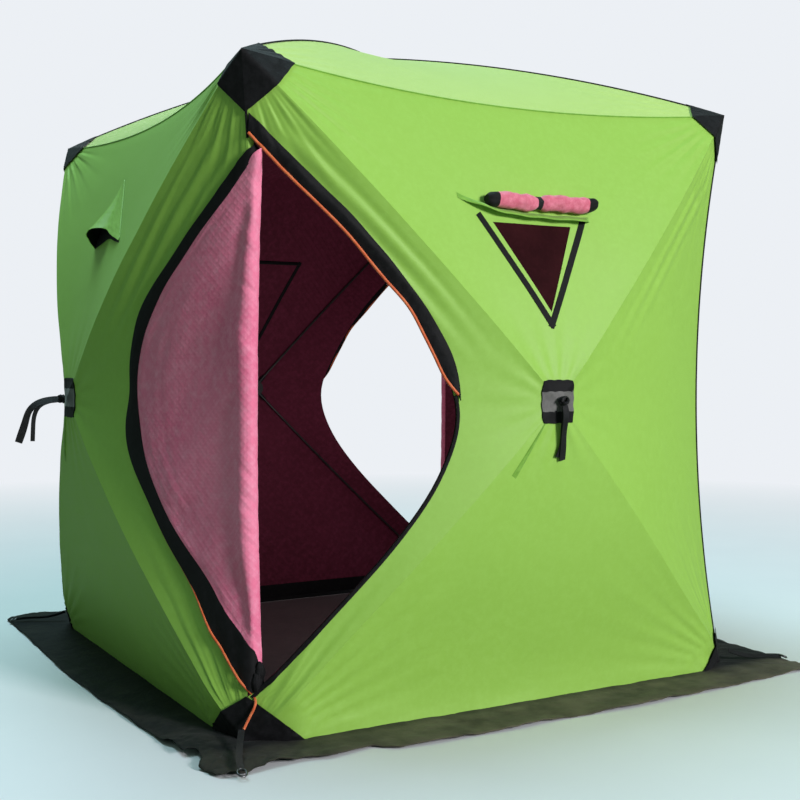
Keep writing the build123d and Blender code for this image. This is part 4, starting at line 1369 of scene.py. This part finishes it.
def ribbon(cloth, path, width, thick, across):
    """Flat webbing along a path; across is its width direction."""
    tangent = unit(np.gradient(path, axis=0))
    face = unit(np.cross(tangent, across))
    side = np.cross(face, tangent)
    reach = np.linspace(-0.5, 0.5, 5) * (width + np.zeros((len(path), 1)))
    middle = path[:, None] + side[:, None] * reach[..., None]
    half = face[:, None] * thick / 2
    add_shell(cloth, middle + half, middle - half, pair(run_length(path)[:, None], reach))


PATCH_X, PATCH_Z, GREY_BAND = 0.058, 0.0645, 0.0295
PATCH_LIFT = 0.002
PLEAT_START, PLEAT_RUN = np.array((-0.044, HUB_Z - 0.060)), (-0.100, -0.160)
# Straps from the middle of the hub, with the side that they show: two stand off the walls, two hang
STANDING = (
    (0.0, HUB_Y - 0.012, HUB_Z - 0.004),
    ((0.002, -0.055, -0.004), (0.004, -0.092, -0.016), (0.005, -0.113, -0.036), (0.003, -0.126, -0.072),
     (0.000, -0.148, -0.140)),
    ((0.006, -0.050, -0.008), (0.010, -0.084, -0.024), (0.012, -0.099, -0.052), (0.014, -0.104, -0.088),
     (0.014, -0.106, -0.136)),
    (0.8, -0.1, 0.6),
)
HANGING = (
    (0.006, HUB_Y - 0.012, HUB_Z + 0.002),
    ((0.002, -0.010, -0.030), (0.007, 0.003, -0.085), (0.013, 0.016, -0.135), (0.018, 0.028, -0.178)),
    ((0.000, -0.004, -0.030), (0.004, 0.008, -0.085), (0.006, 0.018, -0.135), (-0.003, 0.026, -0.168)),
    (0.15, -1.0, 0.0),
)


def add_hub_patch(cloth, quarter):
    """Square patch over a hub: grey across its middle, black above and below."""
    x, z = np.meshgrid(np.linspace(-PATCH_X, PATCH_X, 27), np.linspace(-PATCH_Z, PATCH_Z, 31))
    rough = wall_surface(x, z + HUB_Z, quarter)
    y = rough
    for _ in range(10):
        pad = np.pad(y, 1, mode="edge")
        y = (pad[:-2, 1:-1] + pad[2:, 1:-1] + pad[1:-1, :-2] + pad[1:-1, 2:] + 2 * y) / 6
    y = np.minimum(y, rough - 0.0005) - PATCH_LIFT
    edge = np.minimum(PATCH_X - np.abs(x), PATCH_Z - np.abs(z))
    y -= 0.0012 * smooth_step(0.007 - edge, 0, 0.003)
    # Corners drawn in a little by the stitching
    x = x * (1 - 0.10 * (np.abs(z) / PATCH_Z) ** 4) + 0.0012 * np.sin(z * 160)
    z = z * (1 - 0.05 * (np.abs(x) / PATCH_X) ** 4) + 0.0010 * np.sin(x * 190 + 1)
    top, under = (turn(np.stack([x, depth, z + HUB_Z], -1), quarter) for depth in (y, rough + 0.001))
    uv, faces = pair(x, z), grid_faces(*x.shape)
    high = np.abs(z.ravel()[faces].mean(1) - 0.001) > GREY_BAND
    cloth.add(top.reshape(-1, 3), faces[~high], uv.reshape(-1, 2), 0)
    cloth.add(top.reshape(-1, 3), faces[high], uv.reshape(-1, 2), 1)
    add_grid(cloth, np.stack([border(under), border(top)]), np.stack([border(uv)] * 2), 1)


patches, straps, knots, pleats = Cloth(), Cloth(), Cloth(), Cloth()
k = np.linspace(0, 1, 60)[:, None]
turns = np.linspace(0, 2 * math.pi * 1.5, 60)
for q in range(4):
    add_hub_patch(patches, q)
    tip, path, tail, facing = STANDING if q in (1, 3) else HANGING
    for points, width, thick in ((path, 0.0225 + 0.002 * np.sin(k * 9), 0.0028), (tail, 0.014, 0.0024)):
        line = natural_spline(np.vstack([tip, np.add(tip, points)]), 60)
        across = np.cross(np.gradient(line, axis=0), facing)
        ribbon(straps, turn(line, q), width, thick, turn(across, q))
    knot = (np.cos(turns) * 0.012, -0.006 + 0.006 * np.sin(turns * 0.5), np.sin(turns) * 0.009)
    tube(knots, turn(np.stack(knot, -1) + tip, q), 0.0062, flat=0.7, up=turn((0, -1, 0), q))
    knot = (np.sin(turns) * 0.007, -0.009 + 0.007 * np.cos(turns), np.cos(turns * 0.7) * 0.008)
    tube(knots, turn(np.stack(knot, -1) + tip, q), 0.0055, flat=0.7, up=turn((1, 0, 0), q))
    # One long pleat runs down from the hub to the wall's own left; its darker seam green is painted shade in
    # the fold
    line = PLEAT_START + k * PLEAT_RUN
    wide = (0.004 + 0.015 * k) * (0.83, -0.56)
    crown = (0.002 + 0.003 * k) * (1 - k**6)
    strip(pleats, line - wide / 2, line + wide / 2, q, wall_points, 0.0, 0.0003, crown)
pleats.finish("hub_pleats", [SEAM_AND_FOLD_SHADE_GREEN], "green_fabric")
patches.finish("hub_patch_cloth", [GREY_PATCH, TAPE_AND_SHADE_BLACK], "grey_patch", ["hub_patches"])
straps.finish("pull_strap_webbing", [WEBBING], "black_webbing", ["pull_straps"])
knots.finish("pull_strap_knots", [WEBBING], "black_webbing")

# Skirt, floor and corner ties

SKIRT_START, SKIRT_ROUND = 0.8985, 0.06
GROUND_HALF = 0.897
THIN = 0.0018
TIE = (
    (-0.921, -0.927, 0.046), (-0.950, -0.985, 0.030), (-0.984, -1.062, 0.024), (-1.008, -1.125, 0.023),
    (-1.021, -1.168, 0.020),
)
RING_RADIUS, RING_WIRE = 0.012, 0.0027
HEMS = (
    ((-1, 1.10), (-0.93, 1.145), (-0.87, 1.15), (-0.8, 1.13), (-0.72, 1.125), (-0.66, 1.143),
     (-0.55, 1.117), (-0.48, 1.162), (-0.4, 1.170), (-0.2, 1.177), (0, 1.170), (0.25, 1.177),
     (0.45, 1.165), (0.65, 1.154), (0.88, 1.128), (1, 1.125)),
    ((-1, 1.125), (-0.6, 1.140), (-0.3, 1.132), (0, 1.150), (0.3, 1.143), (0.7, 1.150), (1, 1.130)),
    ((-1, 1.130), (-0.7, 1.147), (-0.35, 1.136), (0, 1.148), (0.4, 1.135), (0.7, 1.144), (1, 1.122)),
    ((-1, 1.122), (-0.84, 1.125), (-0.57, 1.127), (-0.05, 1.142), (0.41, 1.121), (0.73, 1.102), (0.77, 1.088),
     (0.85, 1.096), (0.885, 1.056), (0.94, 1.068), (0.965, 1.098), (1, 1.10)),
)


def skirt_point(t, s, quarter):
    """t from the wall out to the hem, s from -1 to 1 along the side."""
    hem = np.array(HEMS[quarter])
    size = SKIRT_START + (np.interp(s, hem[:, 0], hem[:, 1]) - SKIRT_START) * t
    x, y = s * size, -size
    radius = SKIRT_ROUND * t
    a = size - radius
    over = np.clip((np.abs(x) - a) / np.maximum(radius, 1e-6), 0, 1)
    angle = over * math.pi / 4
    bend = np.abs(x) > a
    x = np.where(bend, np.sign(s) * (a + radius * np.sin(angle)), x)
    y = np.where(bend, -(a + radius * np.cos(angle)), y)
    return turn(np.stack([x, y, np.zeros_like(x)], -1), quarter)


cloth = Cloth()
t, s = np.meshgrid(np.linspace(0, 1, 26), np.linspace(-1, 1, 221), indexing="ij")
s = np.sin(s * math.pi / 2) * 0.35 + s * 0.65
for q in range(4):
    p = skirt_point(t, s, q)
    near = np.exp(-np.linalg.norm(p[..., :2] - (-1.0, -1.0), axis=-1) / 0.22)
    corner = np.exp(-(1.6 - np.linalg.norm(p[..., :2], axis=-1)).clip(0) / 0.12)
    folds = np.abs(wave(p, 5.5, 2.0)) + 0.55 * np.abs(wave(p, 13.0, 4.0)) + 0.25 * np.abs(wave(p, 31.0, 6.0))
    lift = t**0.7 * folds * (0.010 + 0.010 * corner + 0.022 * near) * smooth_step(t, 0.0, 0.12)
    p[..., 2] = 0.0022 + lift + 0.004 * (1 - t) * smooth_step(t, 0, 0.02)
    p[..., :2] *= (1 + 0.004 * t * wave(p, 8.0, 9.0))[..., None]
    low = p.copy()
    low[..., 2] = np.maximum(p[..., 2] - THIN, 0.0002)
    add_shell(cloth, p, low, p[..., :2])
skirt = cloth.finish("snow_skirt_cloth", [SKIRT], "skirt_fabric", ["snow_skirt"], SHEET_WELD)

span = np.linspace(-GROUND_HALF, GROUND_HALF, 80)
x, y = np.meshgrid(span, span)
p = np.stack([x, y, np.zeros_like(x)], -1)
from_edge = 0.88 - np.maximum(np.abs(x), np.abs(y))
p[..., 2] = 0.0024 + 0.004 * np.abs(wave(p, 3.2, 3.0)) * smooth_step(from_edge, 0, 0.1)
cloth = Cloth()
add_shell(cloth, p, p - (0, 0, THIN), pair(x, y))
ground = cloth.finish("ground_cloth", [FLOOR_CLOTH], "floor_fabric", ["groundsheet"], SHEET_WELD)

ties, rings = Cloth(), Cloth()
start = np.array(TIE[0])
a = np.linspace(0, 2 * math.pi, 49)
loop = np.stack([np.cos(a), np.sin(a), 0.5 * np.sin(a)], -1) * RING_RADIUS
for q in range(4):
    # The near corner's tie is the longest, and the others are twisted
    reach, twist = (1.0, 0.0) if q == 0 else (0.74, 0.7)
    path = start + (np.array(TIE) - start) * (reach, reach, 1)
    across = turn((0.9, -0.45, twist), q)
    ribbon(ties, turn(natural_spline(path, 60), q), 0.018, 0.0026, across)
    tube(rings, turn(loop + path[-1] + (-0.003, -0.010, -0.001), q), RING_WIRE)
ties.finish("corner_tie_webbing", [WEBBING], "black_webbing", ["corner_ties"])
rings.finish("corner_tie_rings", [METAL], "steel_wire", ["tie_rings"])

# Poles and hubs keep the model's own solids, with their finish

for node_name, material in (
    ("roof_poles", POLES),
    ("roof_hub", PLASTIC),
    ("wall_hubs", PLASTIC),
    *((f"{name}_wall_poles", POLES) for name in NAMES),
):
    for slot in bpy.data.objects[node_name].material_slots:
        slot.material = material

# Stage, light and camera

BACKDROP = (0.84, 0.87, 0.91)
FLOOR_SPAN = np.linspace(-14, 14, 15)


def stage_material():
    """Pale floor that passes into the backdrop's even tone far from the hut."""
    t = Tree("pale_floor")
    place = t.coords.outputs["Object"]
    marks = t.noise(place, 1.4, 5.0, 0.6)
    seen = t.add("ShaderNodeLightPath").outputs["Is Camera Ray"]
    pale = t.mix(marks, lin((222, 225, 229)), lin((232, 234, 237)))
    tone = t.mix(seen, lin((134, 139, 128)), pale)
    shader = t.surface(tone, 0.8, t.bump(marks, 0.004, 0.3), spec=0.1)
    far = t.add("ShaderNodeVectorMath", operation="LENGTH")
    t.put(far.inputs[0], place)
    glow = t.fed("ShaderNodeEmission", Color=BACKDROP)
    fade = t.fed("ShaderNodeMixShader", Fac=t.math("MULTIPLY", t.ramp(far.outputs["Value"], 1.8, 7.0), seen))
    t.links.new(shader.outputs[0], fade.inputs[1])
    t.links.new(glow.outputs[0], fade.inputs[2])
    t.links.new(fade.outputs[0], t.out.inputs[0])
    return t.material


x, y = np.meshgrid(FLOOR_SPAN, FLOOR_SPAN)
flat = np.stack([x, y, np.full_like(x, -0.0004)], -1).reshape(-1, 3)
floor = make_object("stage_floor", flat, grid_faces(15, 15), [stage_material()])

world = bpy.data.worlds.new("studio")
world.use_nodes = True
wn, wl = world.node_tree.nodes, world.node_tree.links
wn.clear()
output = wn.new("ShaderNodeOutputWorld")
blend = wn.new("ShaderNodeMixShader")
path = wn.new("ShaderNodeLightPath")
wl.new(path.outputs["Is Camera Ray"], blend.inputs[0])
# What lights the hut is dim and green, what the camera sees is the backdrop
for k, (colour, strength) in enumerate((((0.66, 0.98, 0.82), 0.20), (BACKDROP, 1.0))):
    backdrop = wn.new("ShaderNodeBackground")
    backdrop.inputs[0].default_value = (*colour, 1)
    backdrop.inputs[1].default_value = strength
    wl.new(backdrop.outputs[0], blend.inputs[k + 1])
wl.new(blend.outputs[0], output.inputs[0])
bpy.context.scene.world = world


def soft_light(name, place, target, size, power, colour, kind="AREA"):
    """Lamp that the camera doesn't see."""
    data = bpy.data.lights.new(name, kind)
    if kind == "AREA":
        data.size = size
    else:
        data.shadow_soft_size = size
    data.energy = power
    data.color = colour
    lamp = bpy.data.objects.new(name, data)
    lamp.location = place
    lamp.rotation_euler = (Vector(target) - Vector(place)).to_track_quat("-Z", "Y").to_euler()
    lamp.visible_camera = False
    bpy.context.scene.collection.objects.link(lamp)


soft_light("key", (3.5, -12.3, 4.8), (0.0, -0.8, 1.0), 2.8, 1440, (1.0, 0.97, 1.0))
soft_light("sky", (-0.8, 2.6, 10.2), (0.0, 0.0, 1.0), 6.0, 840, (0.62, 0.90, 0.98))
soft_light("inside", (0.0, 0.1, 0.9), (0.0, 0.1, 0.0), 0.35, 9.0, (1.0, 0.95, 0.97), "POINT")

camera_data = bpy.data.cameras.new("camera")
camera_data.lens = 54.47
camera_data.sensor_width = 36.0
camera = bpy.data.objects.new("camera", camera_data)
camera.location = (-2.1999, -4.0158, 1.0593)
camera.rotation_euler = (math.radians(90 - 1.749), 0.0, math.radians(-30.016))
bpy.context.scene.collection.objects.link(camera)
bpy.context.scene.camera = camera
bpy.context.scene.view_settings.view_transform = "Standard"

bpy.context.view_layer.update()
